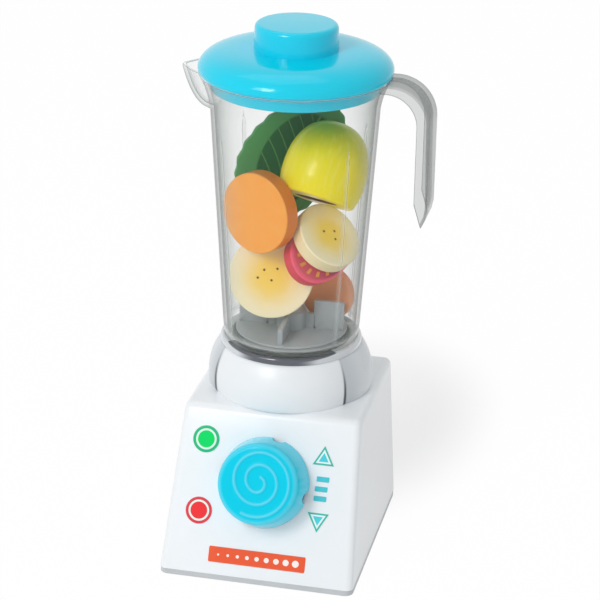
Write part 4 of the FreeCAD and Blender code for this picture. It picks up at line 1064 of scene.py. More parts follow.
# ------------------------------------------------------------------ the base
@dataclass
class BaseShell:
    """White housing, its collar and the seat ring."""

    wall: float = 3.5
    corner: float = 3.8
    front_top: float = -47.0
    top_half: float = 52.0
    collar_columns: int = 168
    crease_columns: int = 25
    crease_reach: float = 3.0
    collar_rows: int = 30
    collar_straight: float = 0.94
    crown_levels: tuple[float, ...] = (0.965, 0.985, 1.0)
    crown_eases: tuple[float, ...] = (0.15, 0.4, 0.9)
    foot_eases: tuple[float, ...] = (0.35, 0.1)
    collar_bow: float = 0.6
    collar_power: float = 2.6
    crease_angle: float = 35.5
    crease_depth: float = 1.5
    crease_fade: float = 0.7
    crease_shade_widths: tuple[float, float] = (1.7, 1.0)
    foot_radius: float = 48.4
    top_radius: float = 41.6
    crown_wall: float = 3.0
    foot_wall: float = 4.0
    waist_wall: float = 5.0
    waist: float = 18.0
    bore: float = 35.6
    bore_ease: float = 0.4
    flange: float = 2.4
    seat_inset: float = 0.6

    def section(self, z: Array, drawn_in: Array, steps: int = 10) -> Array:
        """Rows of a rounded rectangle that tapers with height.

        The sides run straight from the foot to the top; the corner radius shrinks by what the
        section is drawn in.

        Args:
            z: Height of each row.
            drawn_in: How far each row is drawn in from the outer faces.
            steps: Points on each corner.

        Returns:
            Grid of points, shape (rows, 4 * steps, 3).
        """
        low, high = node_box("base_housing")
        share = (z - low[2]) / (high[2] - low[2])
        half = high[0] + (self.top_half - high[0]) * share - drawn_in
        front = low[1] + (self.front_top - low[1]) * share + drawn_in
        back = high[1] - drawn_in
        radius = np.maximum(self.corner - drawn_in, 0.02)
        columns = []
        for quarter, (side, y) in enumerate(((1, back), (-1, back), (-1, front), (1, front))):
            angle = np.linspace(0, QUARTER, steps) + quarter * QUARTER
            y_middle = y - (1 if quarter < 2 else -1) * radius
            middle = np.stack([side * (half - radius), y_middle, 0 * z], -1)
            columns.append(ring(radius[:, None], angle, z[:, None]) + middle[:, None])
        return np.concatenate(columns, axis=1)

    def housing(self) -> Array:
        """Closed shell: up the outside, over the eased top edge, to the middle and back inside.

        Returns:
            Grid of points, shape (rows, columns, 3).
        """
        low, high = (corner[2] for corner in node_box("base_housing"))
        bend = np.linspace(0, QUARTER, 9)
        straight = np.linspace(low, high - self.corner, 8)[:-1]
        z = np.concatenate([straight, high - self.corner + self.corner * np.sin(bend)])
        drawn = np.concatenate([0 * straight, self.corner * (1 - np.cos(bend))])
        outer = self.section(z, drawn)
        inner = self.section(z - self.wall * (z > low), drawn + self.wall)
        lids = []
        for edge in (outer[-1], inner[-1]):
            middle = edge.mean(axis=0)
            lids.append(middle + (edge - middle) * np.linspace(1, 0, 7)[1:, None, None])
        return np.concatenate([outer, lids[0], lids[1][::-1], inner[::-1]])

    def collar_reach(self, angle: Array, share: Array) -> tuple[Array, Array]:
        """Radius of the collar's outside and how near a point is to a crease, which sets the collar's painted
        crease shade.

        Each facet is an arc through two creases and its own middle. With R the middle's radius, c
        the crease's and b half the facet's angle, its centre is m = (R R - c c) / 2 (R - c cos b)
        out along the middle, its radius is R - m, and a ray at angle p from the middle meets it at
        m cos p + sqrt((R - m) squared - (m sin p) squared).

        Args:
            angle: Direction of each column, in radians.
            share: Height of each row, from nought to one.

        Returns:
            Radius and nearness, each of shape (rows, columns).
        """
        share = share[:, None]
        radius = self.foot_radius - (self.foot_radius - self.top_radius) * share**self.collar_power
        radius = radius + self.collar_bow * np.sin(np.pi * share)
        crease = radius - self.crease_depth * np.clip(1 - share, 0, 1) ** self.crease_fade
        side_half, to_side = math.radians(self.crease_angle), from_x_axis(angle)
        on_side = to_side < side_half
        half = np.where(on_side, side_half, QUARTER - side_half)[None]
        from_middle = np.where(on_side, to_side, QUARTER - to_side)[None]
        middle = (radius**2 - crease**2) / np.maximum(2 * (radius - crease * np.cos(half)), TINY)
        reach = middle * np.cos(from_middle)
        reach = reach + np.sqrt((radius - middle) ** 2 - (middle * np.sin(from_middle)) ** 2)
        # Painted crease shade: a bell across each crease, wider on the left, fading towards the top.
        width = np.where(np.cos(angle) < 0, *self.crease_shade_widths)
        near = np.exp(-(((half - from_middle) * radius / width) ** 2)) * np.clip(1.15 - share, 0, 1)
        return reach, near

    def collar(self) -> tuple[Array, Array]:
        """Closed shell of the collar: outside, eased top edge, flange and inside.

        Its columns are closer together at the four creases.

        Returns:
            Grid of points and the painted crease shade at each.
        """
        foot, top = (corner[2] for corner in node_box("collar"))
        near = finer_near(self.crease_angle, self.crease_reach / self.foot_radius, self.crease_columns)
        angle = np.unique(np.round(np.concatenate([compass(self.collar_columns), near]), 7))
        share = np.concatenate([np.linspace(0, self.collar_straight, self.collar_rows), self.crown_levels])
        reach, near = self.collar_reach(angle, share)
        flat = [0.0] * (len(share) - len(self.foot_eases) - len(self.crown_eases))
        reach = reach - np.array([*self.foot_eases, *flat, *self.crown_eases])[:, None]
        inner = self.top_radius - self.crown_wall
        inside = np.array([
            (inner, top), (self.bore + self.bore_ease, top), (self.bore, top - self.bore_ease),
            (self.bore, top - self.flange), (inner, top - self.flange),
            (self.foot_radius - self.waist_wall, foot + self.waist),
            (self.foot_radius - self.foot_wall, foot),
        ])
        outer = ring(reach, angle, (foot + (top - foot) * share)[:, None])
        painted_shading = np.concatenate([near, np.zeros((len(inside), len(angle)))])
        return np.concatenate([outer, ring(inside[:, :1], angle, inside[:, 1:])]), painted_shading

    def seat(self) -> Array:
        """Seat ring: a turned band with a sloping outer edge.

        Returns:
            Grid of points, shape (rows, columns, 3).
        """
        low, high = node_box("seat_ring")
        outer, foot, top = high[0], low[2], high[2]
        inner, slope = self.bore - self.seat_inset, (top - foot) / 4
        return turned(eased([
            (inner, foot, 0.1), (outer, foot, 0.2), (outer, top - slope, 0.8),
            (outer - slope, top, 0.8), (inner, top, 0.5),
        ], 6))

    def build(self) -> None:
        """Make the base's pieces."""
        white = Finish("housing_white", (243, 247, 250), 0.34, coat=0.25, waves=0.02, mottle=0.006)
        glossy = FacetedPlastic("collar_gloss", (240, 244, 247), 0.35, coat=0.05, waves=0.05, mottle=0.006)
        slate = SeatPlastic("seat_slate", (78, 83, 93), 0.12, coat=0.9, waves=0.05)
        collar, painted_shading = self.collar()
        Piece("housing_shell", Body.BASE, white.material(), "white_plastic",
              ("base_housing",)).add(self.housing()).build()
        Piece("collar_dome", Body.BASE, glossy.material(), "collar_plastic",
              ("collar",), sharp=28.0).add(collar, painted_shading=painted_shading).build()
        Piece("seat_band", Body.BASE, slate.material(), "slate_plastic",
              ("seat_ring",)).add(self.seat()).build()


@dataclass
class FrontPanel:
    """Stickers on the leaning front face."""

    face: Place
    ease: float = 0.1
    thick: float = 0.25
    gloss: float = 0.3
    coat: float = 0.05
    aqua: Colour = (84, 212, 224)
    bar: tuple[float, float, float] = (7.4, 3.0, 0.5)
    bar_places: tuple[tuple[float, float], ...] = ((-0.3, -5.6), (-0.2, -0.112), (0.3, 5.6))

    def spot(self, name: str) -> Place:
        """Frame at the middle of a sticker, on its underside."""
        offset = sum(node_box(name)) / 2 - np.array(self.face.origin)
        return self.face.moved(*(offset @ self.face.axes().T)[:2])

    def stick(self, name: str, finish: Finish, slot: str, outlines: Sequence[tuple[Place, Array]],
              piece_name: str | None = None) -> None:
        """Make one sticker.

        Args:
            name: The node that it stands for.
            finish: Its print.
            slot: The record's material slot.
            outlines: Its outlines, each with its frame.
            piece_name: Its own name, if it isn't the node's with "_print".
        """
        piece = Piece(piece_name or name + "_print", Body.BASE, finish.material(), slot, (name,))
        for place, outline in outlines:
            piece.add(place.put(plate(outline, 0.0, self.thick, self.ease)), closed_ends=False)
        piece.build()

    def build(self) -> None:
        """Make all the stickers."""
        shine = {"roughness": self.gloss, "coat": self.coat}
        radius = node_span("go_sticker")[0] / 2
        disc = ring(radius, compass(96), 0.0)[:, :2]
        for name, inner, outer, slot in (("go_sticker", (0, 224, 106), (44, 190, 130), "green_print"),
                                         ("stop_sticker", (248, 58, 62), (232, 70, 84), "red_print")):
            spot = self.spot(name)
            ink = RingPrint(name + "_ink", inner, place=spot, outer=outer, radius=radius, **shine)
            self.stick(name, ink, slot, [(spot, disc)])
        for name, way in (("faster_sticker", 1), ("slower_sticker", -1)):
            spot, side = self.spot(name), node_span(name)[0]
            ink = ArrowPrint(name + "_ink", self.aqua, place=spot, side=side, upward=way > 0, **shine)
            tip = ink.height / 2 * way
            outline = eased([(-side / 2, -tip, 0.7), (side / 2, -tip, 0.7), (0, tip, 0.7)], 6)
            self.stick(name, ink, "aqua_print", [(spot, outline)])
        spot, bar = self.spot("level_sticker"), rounded_rectangle(*self.bar)
        bars = [(spot.moved(x, y), bar) for x, y in self.bar_places]
        ink = Finish("level_ink", self.aqua, specular=0.1, **shine)
        self.stick("level_sticker", ink, "aqua_print", bars, "level_bars")
        spot = self.spot("front_label")
        ink = DottedPrint("label_ink", (244, 98, 62), place=spot, **shine)
        self.stick("front_label", ink, "coral_print", [(spot, rounded_rectangle(*ink.size, 1.8))])


@dataclass
class Dial:
    """Blue dial with a raised spiral and four notches in its rear edge."""

    face: Place
    rear_radius: float = 26.4
    front_radius: float = 23.4
    gap: float = 0.6
    depth: float = 21.0
    wall: float = 2.4
    edge: float = 3.4
    rear_edge: float = 0.5
    notches: int = 4
    notch_radius: float = 3.4
    notch_depth: float = 1.7
    notch_stretch: float = 1.9
    notch_soft: float = 0.7
    first_notch: float = 77.0
    ridge_foot: float = 3.0
    ridge_proud: float = 0.88
    ridge_start: float = 4.6
    half_turns: int = 4
    ridge_angle: float = 65.0
    columns: int = 432
    # Levels of the painted highlight on the side, the rounded edge and the ridge, over the plain level.
    plain: float = 0.5
    side_glow: float = 0.45
    edge_glow: float = 0.3
    ridge_glow: float = 0.34

    def ridge_height(self, x: Array, y: Array) -> Array:
        """Height of the ridge at points of the face.

        The ridge follows half circles about two centres in turn, one step apart along the first
        angle. Its height is a cosine of the distance from the nearest of them, to the 1.5.

        Args:
            x: First coordinates on the face.
            y: Second coordinates on the face.

        Returns:
            Height over the face at each point.
        """
        last = self.front_radius - self.edge - self.ridge_foot / 2
        step = (last - self.ridge_start) / self.half_turns
        a = math.radians(self.ridge_angle)
        along = x * math.cos(a) + y * math.sin(a)
        across = -x * math.sin(a) + y * math.cos(a)
        gaps = [np.hypot(along - self.ridge_start, across)]
        for turn in range(self.half_turns + 1):
            shift, side = (step, 1) if turn % 2 else (0.0, -1)
            gap = np.abs(np.hypot(along - shift, across) - (self.ridge_start + step * turn))
            gaps.append(np.where(across * side >= 0, gap, math.inf))
        near = np.clip(np.min(gaps, axis=0) / self.ridge_foot, 0, 0.5)
        return self.ridge_proud * np.cos(near * math.pi) ** 1.5

    def notched(self, angle: Array, z: float) -> Array:
        """Depth of the notches as a share: one in a half oval on the rear edge, nought beyond.

        Args:
            angle: Direction of each column, in radians.
            z: Height of the row.

        Returns:
            Share at each column.
        """
        from_notch = wrapped(angle - math.radians(self.first_notch), FULL_TURN / self.notches)
        away = np.hypot(from_notch * self.rear_radius, (z - self.gap) / self.notch_stretch)
        return smooth_step((self.notch_radius + 0.3 - away) / self.notch_soft)

    def knob(self) -> tuple[Array, Array]:
        """Closed shell: outside from the rear edge, round to the face, and back inside.

        Returns:
            Grid of points and the painted highlight and shade at each.
        """
        angle = compass(self.columns)
        low, high = self.gap, self.gap + self.depth
        flat = self.front_radius - self.edge
        rows: list[tuple[Any, Any, Any]] = []
        for share in np.linspace(0, 1, 34) ** 1.5:
            z = low + (high - self.edge - low) * share
            notch = self.notched(angle, z)
            # Painted highlight on the side, paler towards the rear edge, and painted shade in the notches.
            painted_shading = (self.plain + self.side_glow * math.cos(QUARTER * share) ** 0.5) * (1 - notch)
            radius = self.rear_radius - (self.rear_radius - self.front_radius) * share
            radius -= self.rear_edge * max(0.0, 1 - share / 0.02)
            rows.append((radius - self.notch_depth * notch, z, painted_shading))
        for bend in np.linspace(0, QUARTER, 12)[1:]:
            # Painted highlight round the rounded front edge.
            drop, painted_shading = self.edge * (1 - math.sin(bend)), self.plain + self.edge_glow * math.sin(2 * bend)
            rows.append((self.front_radius - self.edge * (1 - math.cos(bend)), high - drop, painted_shading))
        for share in np.linspace(1, 0, 90)[1:]:
            radius = flat * share
            proud = self.ridge_height(radius * np.cos(angle), radius * np.sin(angle))
            # Painted highlight on the ridge's crown.
            rows.append((radius, high + proud, self.plain + self.ridge_glow * proud / self.ridge_proud))
        roof, outer = high - self.wall, self.rear_radius - self.wall
        # Painted shade inside the cup, seen through the notches.
        rows += [(flat * share, roof, 0.0) for share in np.linspace(0, 1, 8)]
        for share in np.linspace(1, 0, 10)[1:]:
            rows.append((outer - (outer - flat) * share, low + (roof - low) * share, 0.0))
        return stacked(rows, angle)

    def build(self) -> None:
        """Make the dial."""
        blue = DialPlastic("dial_gloss", (0, 214, 242), 0.2, coat=0.12, waves=0.03, mottle=0.012,
                           specular=0.06)
        piece = Piece("dial_cup", Body.DIAL, blue.material(), "blue_plastic", ("dial_knob",), sharp=40.0)
        shell, painted_shading = self.knob()
        piece.add(self.face.put(shell), painted_shading=painted_shading).build()


# ------------------------------------------------------------------ the jar
@dataclass
class Jar:
    """Clear jar: tapered wall, flared rim, spout, inner ribs, and its channel handle."""

    foot_radius: float = 39.6
    shoulder_radius: float = 48.3
    shoulder: float = 139.0
    rim_radius: float = 54.75
    flare_bow: float = 0.56
    height: float = 158.5
    wall: float = 2.2
    floor: float = 2.2
    skirt_radius: float = 34.2
    boss_radius: float = 11.5
    boss_depth: float = 10.0
    bore: float = 8.98
    edge: float = 0.4
    columns: int = 180
    rib_columns: int = 17
    rib_reach: float = 2.4
    spout_columns: int = 141
    rib_angle: float = 35.5
    rib_width: float = 3.0
    rib_proud: float = 0.7
    rib_top: float = 124.0
    rib_point: float = 8.0
    spout_half: float = 19.0
    spout_depth: float = 25.0
    spout_tip: tuple[float, float] = (1.2, 2.6)
    spout_powers: tuple[float, float] = (2.0, 2.6)
    spout_span: float = 60.0
    spout_steepest: float = 75.0
    blend: float = 0.5
    handle_depth: float = 7.4
    handle_top: float = 4.8
    handle_bend: float = 22.8
    handle_bevel: float = 14.4
    tip_inset: float = 3.0

    def __post_init__(self) -> None:
        """Take the jar's lowest and highest level and the spout's reach from the frame."""
        low, high = node_box("jar")
        self.rim, self.bottom, self.spout_reach = high[2], high[2] - self.height, -low[0]
        self.skirt_low = node_box("jar_skirt")[0][2]

    def wall_radius(self, z: Array) -> Array:
        """Outer radius of the round wall: a straight taper, then an arc-like flare to the rim.

        The flare takes a share of the parabola t (1 - t) off the straight line.

        Args:
            z: Heights.

        Returns:
            Radius at each height.
        """
        rise = (self.shoulder_radius - self.foot_radius) * (z - self.bottom) / self.shoulder
        t = np.clip((z - self.bottom - self.shoulder) / (self.height - self.shoulder), 0, 1)
        share = t - self.flare_bow * t * (1 - t)
        flare = self.shoulder_radius + (self.rim_radius - self.shoulder_radius) * share
        return np.where(t > 0, flare, self.foot_radius + rise)

    def angles(self) -> Array:
        """Columns of the jar, closer together at the ribs and round the spout.

        Returns:
            Their directions, in radians.
        """
        near = finer_near(self.rib_angle, self.rib_reach / self.shoulder_radius, self.rib_columns)
        spout = math.pi + np.linspace(-1, 1, self.spout_columns) * math.radians(self.spout_span / 2)
        return np.unique(np.round(np.concatenate([compass(self.columns), near, spout]), 6))

    def spout(self, angle: Array, z: Array, thin: float) -> Array:
        """Reach of the spout's surface from the axis, in each direction and at each height.

        At a share s of its reach the spout's section is half an ellipse under the rim, of half
        width w (1 - s squared) and depth d (1 - s to the 2.6), each with a share s of the tip's
        size. The reach is where the ray leaves it, found by halving the interval of s thirty times.

        Args:
            angle: Direction of each column, in radians.
            z: Height of each row.
            thin: How far the surface lies inside the outer one.

        Returns:
            Reach, shape (rows, columns).
        """
        root = self.shoulder_radius - 2 * self.wall
        way = self.spout_reach - thin - root
        full = (self.spout_half - thin, self.spout_depth - thin)
        sizes = tuple(zip(full, self.spout_powers, self.spout_tip))
        off = np.abs(wrapped(angle - math.pi))[None]
        held = np.minimum(off, math.radians(self.spout_steepest))
        below = (self.rim - z)[:, None]
        low = np.full((len(z), len(angle)), -1.5)
        high = np.ones_like(low)
        for _ in range(30):
            s = (low + high) / 2
            ahead = np.clip(s, 0, 1)
            half, depth = (size * (1 - ahead**power) + tip * ahead for size, power, tip in sizes)
            width = half * np.sqrt(np.maximum(1 - (below / depth) ** 2, 0))
            inside = (width >= (root + way * s) * np.tan(held)) & (below < depth)
            low, high = np.where(inside, s, low), np.where(inside, high, s)
        return np.where(off < math.radians(self.spout_span), (root + way * low) / np.cos(held), 0.0)

    def surface(self, angle: Array, z: Array, thin: float) -> Array:
        """Radius of the wall and spout together: their soft maximum, the log of summed exponents.

        Args:
            angle: Direction of each column, in radians.
            z: Height of each row.
            thin: How far the surface lies inside the outer one.

        Returns:
            Radius, shape (rows, columns).
        """
        wall = self.wall_radius(z)[:, None] - thin
        extra = (self.spout(angle, z, thin) - wall) / self.blend
        soft = self.blend * np.logaddexp(0, np.clip(extra, -40, 400))
        return wall + np.where(extra < -8, 0.0, soft)

    def ribs(self, angle: Array, z: Array) -> Array:
        """How far the ribs stand proud of the inner wall: flat bars that narrow to a point.

        Args:
            angle: Direction of each column, in radians.
            z: Height of each row.

        Returns:
            Height over the wall, shape (rows, columns).
        """
        off = np.abs(from_x_axis(angle) - math.radians(self.rib_angle))[None] * self.shoulder_radius
        left = self.bottom + self.rib_top - z
        half = self.rib_width / 2 * np.clip(left / self.rib_point, 0, 1)[:, None]
        return self.rib_proud * smooth_step((half + 0.15 - off) / 0.35) * (half > 0)

    def underside(self) -> list[tuple[float, float, float]]:
        """Rows under the inner wall: floor, boss, skirt and the rounded foot.

        Returns:
            (radius, height, tint) of each row, from the inside out.
        """
        low, edge, skirt, foot = self.bottom, self.edge, self.skirt_radius, self.foot_radius
        floor, boss_low = low + self.floor, low - self.boss_depth
        r = self.wall_radius(np.array([floor]))[0] - self.wall
        corners = [
            (r - 0.1, floor + 0.7), (r - 0.5, floor + 0.15), (r - 1.2, floor), (self.bore + 3, floor),
            (self.bore, floor), (self.bore, boss_low), (self.boss_radius - edge, boss_low),
            (self.boss_radius, boss_low + edge), (self.boss_radius, low), (skirt - self.wall, low),
            (skirt - self.wall, self.skirt_low), (skirt - edge, self.skirt_low),
            (skirt, self.skirt_low + edge), (skirt, low), (foot - 1.6, low), (foot - 0.6, low + 0.15),
            (foot - 0.1, low + 0.6),
        ]
        return [(radius, z, 0.0) for radius, z in corners]

    def body(self) -> tuple[Array, Array]:
        """Closed shell: outer wall, rounded rim, inner wall with ribs, floor, boss and skirt.

        Returns:
            Grid of points and the painted highlight and shade at each: rim, foot and edges of the ribs show
            as painted lines.
        """
        angle, low, high, t = self.angles(), self.bottom, self.rim, self.wall
        levels = np.concatenate([
            low + np.array([1.3, 2.2, 4.0]), np.linspace(low + 8, low + 112, 14),
            np.linspace(low + 115, low + 126, 12), np.linspace(low + 128, high - 0.9, 34),
        ])
        # Painted highlight: a pale line a little above the foot.
        foot_glow = np.zeros(len(levels))
        foot_glow[2:4] = 0.5, 0.15
        rows = list(zip(self.surface(angle, levels, 0.0), levels, foot_glow))
        top = self.surface(angle, np.array([high]), 0.0)[0]
        # Painted lines at the rim: dark along its edges, pale on its top.
        rows += [(top - 0.12, high - 0.4, 1.0), (top - 0.55, high - 0.02, 0.5),
                 (top - t + 0.55, high - 0.02, 0.5), (top - t + 0.12, high - 0.4, 1.0)]
        inner_levels = levels[levels > low + self.floor + 1][::-1]
        ribs = self.ribs(angle, inner_levels)
        # Painted lines at the ribs: dark along their flanks, paler on their crowns.
        proud = ribs / self.rib_proud
        glow = np.maximum(np.minimum(8 * proud * (1 - proud), 1.0), 0.3 * proud)
        rows += zip(self.surface(angle, inner_levels, t) - ribs, inner_levels, glow)
        return stacked(rows + self.underside(), angle)

    def handle_path(self) -> tuple[Array, Array]:
        """Outer and inner line of the handle's strap in the XZ plane: level, round a bend and down.

        Returns:
            The two lines, station by station.
        """
        low, high = node_box("jar_handle")
        reach, foot, top, bend = high[0], low[2], self.rim, self.handle_bend
        turn = np.linspace(QUARTER, 0, 26)
        swing = np.column_stack([np.cos(turn), np.sin(turn)])
        drop = np.linspace(0, 1, 14)[1:, None]
        lines = []
        for start, level, x, radius, end in (
            (self.rim_radius, top, reach, bend, foot),
            (self.rim_radius - self.wall, top - self.handle_top, reach - self.handle_depth,
             bend - self.handle_top, foot + self.handle_bevel),
        ):
            centre = np.array([x - radius, level - radius])
            down = np.array([x, level - radius]) * (1 - drop) + np.array([x, end]) * drop
            lines.append(np.concatenate([[[start, level]], centre + radius * swing, down]))
        lines[0][-len(drop):, 0] -= self.tip_inset * np.clip(drop[:, 0] * 6 - 5, 0, 1) ** 2
        return lines[0], lines[1]

    def handle(self) -> Array:
        """Channel carried along the handle's path.

        The section is a U of even wall, open towards the jar, with eased corners; each of its
        points keeps its distance from the outer line, measured towards the inner one.

        Returns:
            Grid of points, shape (stations + 2, columns, 3).
        """
        half, t, brim = node_span("jar_handle")[1] / 2, self.wall, math.inf
        corners = [
            (-half, brim, 0.5), (-half, 0.0, 2.4), (half, 0.0, 2.4), (half, brim, 0.5),
            (half - t, brim, 0.5), (half - t, t, 1.0), (-half + t, t, 1.0), (-half + t, brim, 0.5),
        ]
        outer, inner = self.handle_path()
        rows = []
        for start, way in zip(outer, inner - outer):
            full = np.linalg.norm(way)
            section = eased([(y, min(deep, full), cut) for y, deep, cut in corners], 6)
            spot = start + section[:, 1:] * (way / full)
            rows.append(np.column_stack([spot[:, 0], section[:, 0], spot[:, 1]]))
        grid = np.stack(rows)
        grid[0, :, 0] = np.sqrt(self.wall_radius(grid[0, :, 2]) ** 2 - grid[0, :, 1] ** 2) + 0.05
        ends = [(row + row[::-1]) / 2 for row in (grid[0], grid[-1])]
        return np.concatenate([ends[:1], grid, ends[1:]])

    def build(self) -> None:
        """Make the jar and its handle."""
        clear = ClearPlastic("clear_wall", (166, 177, 171), 0.06, coat=0.12).material()
        strap = ClearPlastic("clear_strap", (118, 128, 124), 0.08, coat=0.15, body=0.2, power=2.0).material()
        shell, painted_shading = self.body()
        Piece("jar_wall", Body.JAR, clear, "clear_plastic", ("jar", "jar_floor", "jar_skirt", "jar_boss"),
              sharp=36.0).add(shell, painted_shading=painted_shading).build()
        Piece("handle_strap", Body.JAR, strap, "clear_plastic", ("jar_handle",),
              sharp=40.0).add(self.handle(), closed_ends=False).build()


@dataclass
class Rotor:
    """Grey rotor: disc, hub, stem, two tall fins and two low ones."""

    hub_radius: float = 9.0
    stem_radius: float = 6.9
    stem_wall: float = 2.0
    socket_depth: float = 10.0
    disc_thick: float = 1.2
    fin_thick: float = 3.0
    tall_inner: float = 13.5
    tall_outer: float = 31.2
    tall_height: float = 17.6
    low_outer: float = 30.0
    low_height: float = 9.0
    low_inner_height: float = 11.0

    def fin(self, outline: Sequence[Sequence[float]], turn: float) -> Array:
        """Upright plate from an outline of (reach, height, cut), turned about Z.

        Args:
            outline: Its corners.
            turn: Degrees of turn.

        Returns:
            Grid of points.
        """
        flat = plate(eased(outline, 5), -self.fin_thick / 2, self.fin_thick / 2, 0.5)
        a = math.radians(turn)
        x = flat[..., 0] * math.cos(a) + flat[..., 2] * math.sin(a)
        y = flat[..., 0] * math.sin(a) - flat[..., 2] * math.cos(a)
        return np.stack([x, y, flat[..., 1]], -1)

    def build(self) -> None:
        """Make the rotor."""
        low, high = node_box("rotor")
        rim, foot, top = high[0], low[2], high[2] - self.tall_height
        grey = Finish("rotor_grey", (172, 179, 182), 0.38, coat=0.15, waves=0.02)
        piece = Piece("rotor_fins", Body.ROTOR, grey.material(), "rotor_plastic", ("rotor",))
        disc_low, crown = top - self.disc_thick, top + self.low_inner_height
        socket, stem, hub = self.stem_radius - self.stem_wall, self.stem_radius, self.hub_radius
        deep = foot + self.socket_depth
        piece.add(turned(eased([
            (socket, foot, 0.2), (stem, foot, 0.3), (stem, disc_low, 0.0), (rim, disc_low, 0.3),
            (rim, top, 0.4), (hub, top, 0.4), (hub, crown, 3.0), (0.0, crown, 0.0), (0.0, deep, 0.0),
            (socket, deep, 0.0),
        ], 6)))
        sunk = top - self.disc_thick / 2
        fins = (
            (0, self.tall_inner, self.tall_outer, self.tall_height, self.tall_height, 1.2, 1.2),
            (0, hub - 1, self.tall_inner + 1, self.low_height, self.low_height, 0.4, 0.4),
            (90, hub - 1, self.low_outer, self.low_inner_height, self.low_height, 0.8, 1.2),
        )
        for half_turn in (0, 180):
            for turn, inner, outer, inner_top, outer_top, inner_cut, outer_cut in fins:
                outline = [(inner, sunk, 0.0), (outer, sunk, 0.0), (outer, top + outer_top, outer_cut),
                           (inner, top + inner_top, inner_cut)]
                piece.add(self.fin(outline, half_turn + turn), closed_ends=False)
        piece.build()


@dataclass
class Lid:
    """Domed blue lid with its plug, and the short round cap on it."""

    radius: float = 55.3
    rise: float = 11.6
    wall: float = 2.2
    skirt: float = 2.35
    lip: float = 1.2
    curve: float = 5.4
    blend: float = 1.9
    plug_depth: float = 9.0
    plug_top: float = 49.55
    plug_foot: float = 48.4
    cap_radius: float = 24.2
    cap_top: float = 23.5
    cap_edge: float = 3.0
    cap_plug: float = 4.0
    cap_gap: float = 0.05
    cap_plug_wall: float = 1.8

    def dome(self, radius: Array, shrink: float = 0.0) -> Array:
        """Height of the dome over its edge: rise times (1 - (r / R) to the curve) to the 1 / blend."""
        share = np.clip(radius / (self.radius - shrink), 0, 1)
        return (self.rise - shrink) * (1 - share**self.curve) ** (1 / self.blend)

    def shell(self) -> Array:
        """Closed section of the lid: dome, rounded edge, plug and inside.

        Returns:
            (radius, height) points.
        """
        plug_low = node_box("lid")[0][2]
        seat = plug_low + self.plug_depth
        edge = seat + self.skirt
        hole = self.cap_radius - self.wall
        out = hole + (self.radius - hole) * (1 - (1 - np.linspace(0, 1, 46)) ** 2.2)
        turn = np.linspace(0, QUARTER, 8)[1:]
        lip = np.column_stack([self.radius - self.lip * (1 - np.cos(turn)), edge - self.skirt * np.sin(turn)])
        plug_inner = self.plug_foot - self.wall
        plug = eased([
            (self.plug_top, seat, 0.5), (self.plug_foot, plug_low, 0.8), (plug_inner, plug_low, 0.6),
            (plug_inner, edge + 4, 0.0),
        ], 5)
        back = np.linspace(plug_inner, hole, 20)[1:]
        return np.concatenate([
            np.column_stack([out, edge + self.dome(out)]), lip, plug,
            np.column_stack([back, edge + self.dome(back, self.wall)]),
        ])

    def cap(self) -> Array:
        """Closed section of the cap: side, rounded top edge, top, inside and plug.

        Returns:
            (radius, height) points.
        """
        low, high = node_box("lid_cap")
        plug_low, top = low[2], high[2]
        side_low, roof = plug_low + self.cap_plug - 1.0, top - self.wall
        hole = self.cap_radius - self.wall - self.cap_gap
        bore = hole - self.cap_plug_wall
        return eased([
            (self.cap_radius, side_low, 0.2), (self.cap_top, top, self.cap_edge), (0.0, top, 0.0),
            (0.0, roof, 0.0), (bore, roof, 1.0), (bore, plug_low, 0.2), (hole, plug_low, 0.4),
            (hole, side_low, 0.0),
        ], 9)

    def build(self) -> None:
        """Make the lid and its cap."""
        blue = Finish("cyan_gloss", (0, 212, 240), 0.15, coat=0.45, waves=0.03, mottle=0.012, specular=0.12)
        material = blue.material()
        for name, node, section, columns in (("lid_dome", "lid", self.shell(), 192),
                                             ("cap_drum", "lid_cap", self.cap(), 144)):
            Piece(name, Body.LID, material, "blue_plastic", (node,)).add(turned(section, columns)).build()


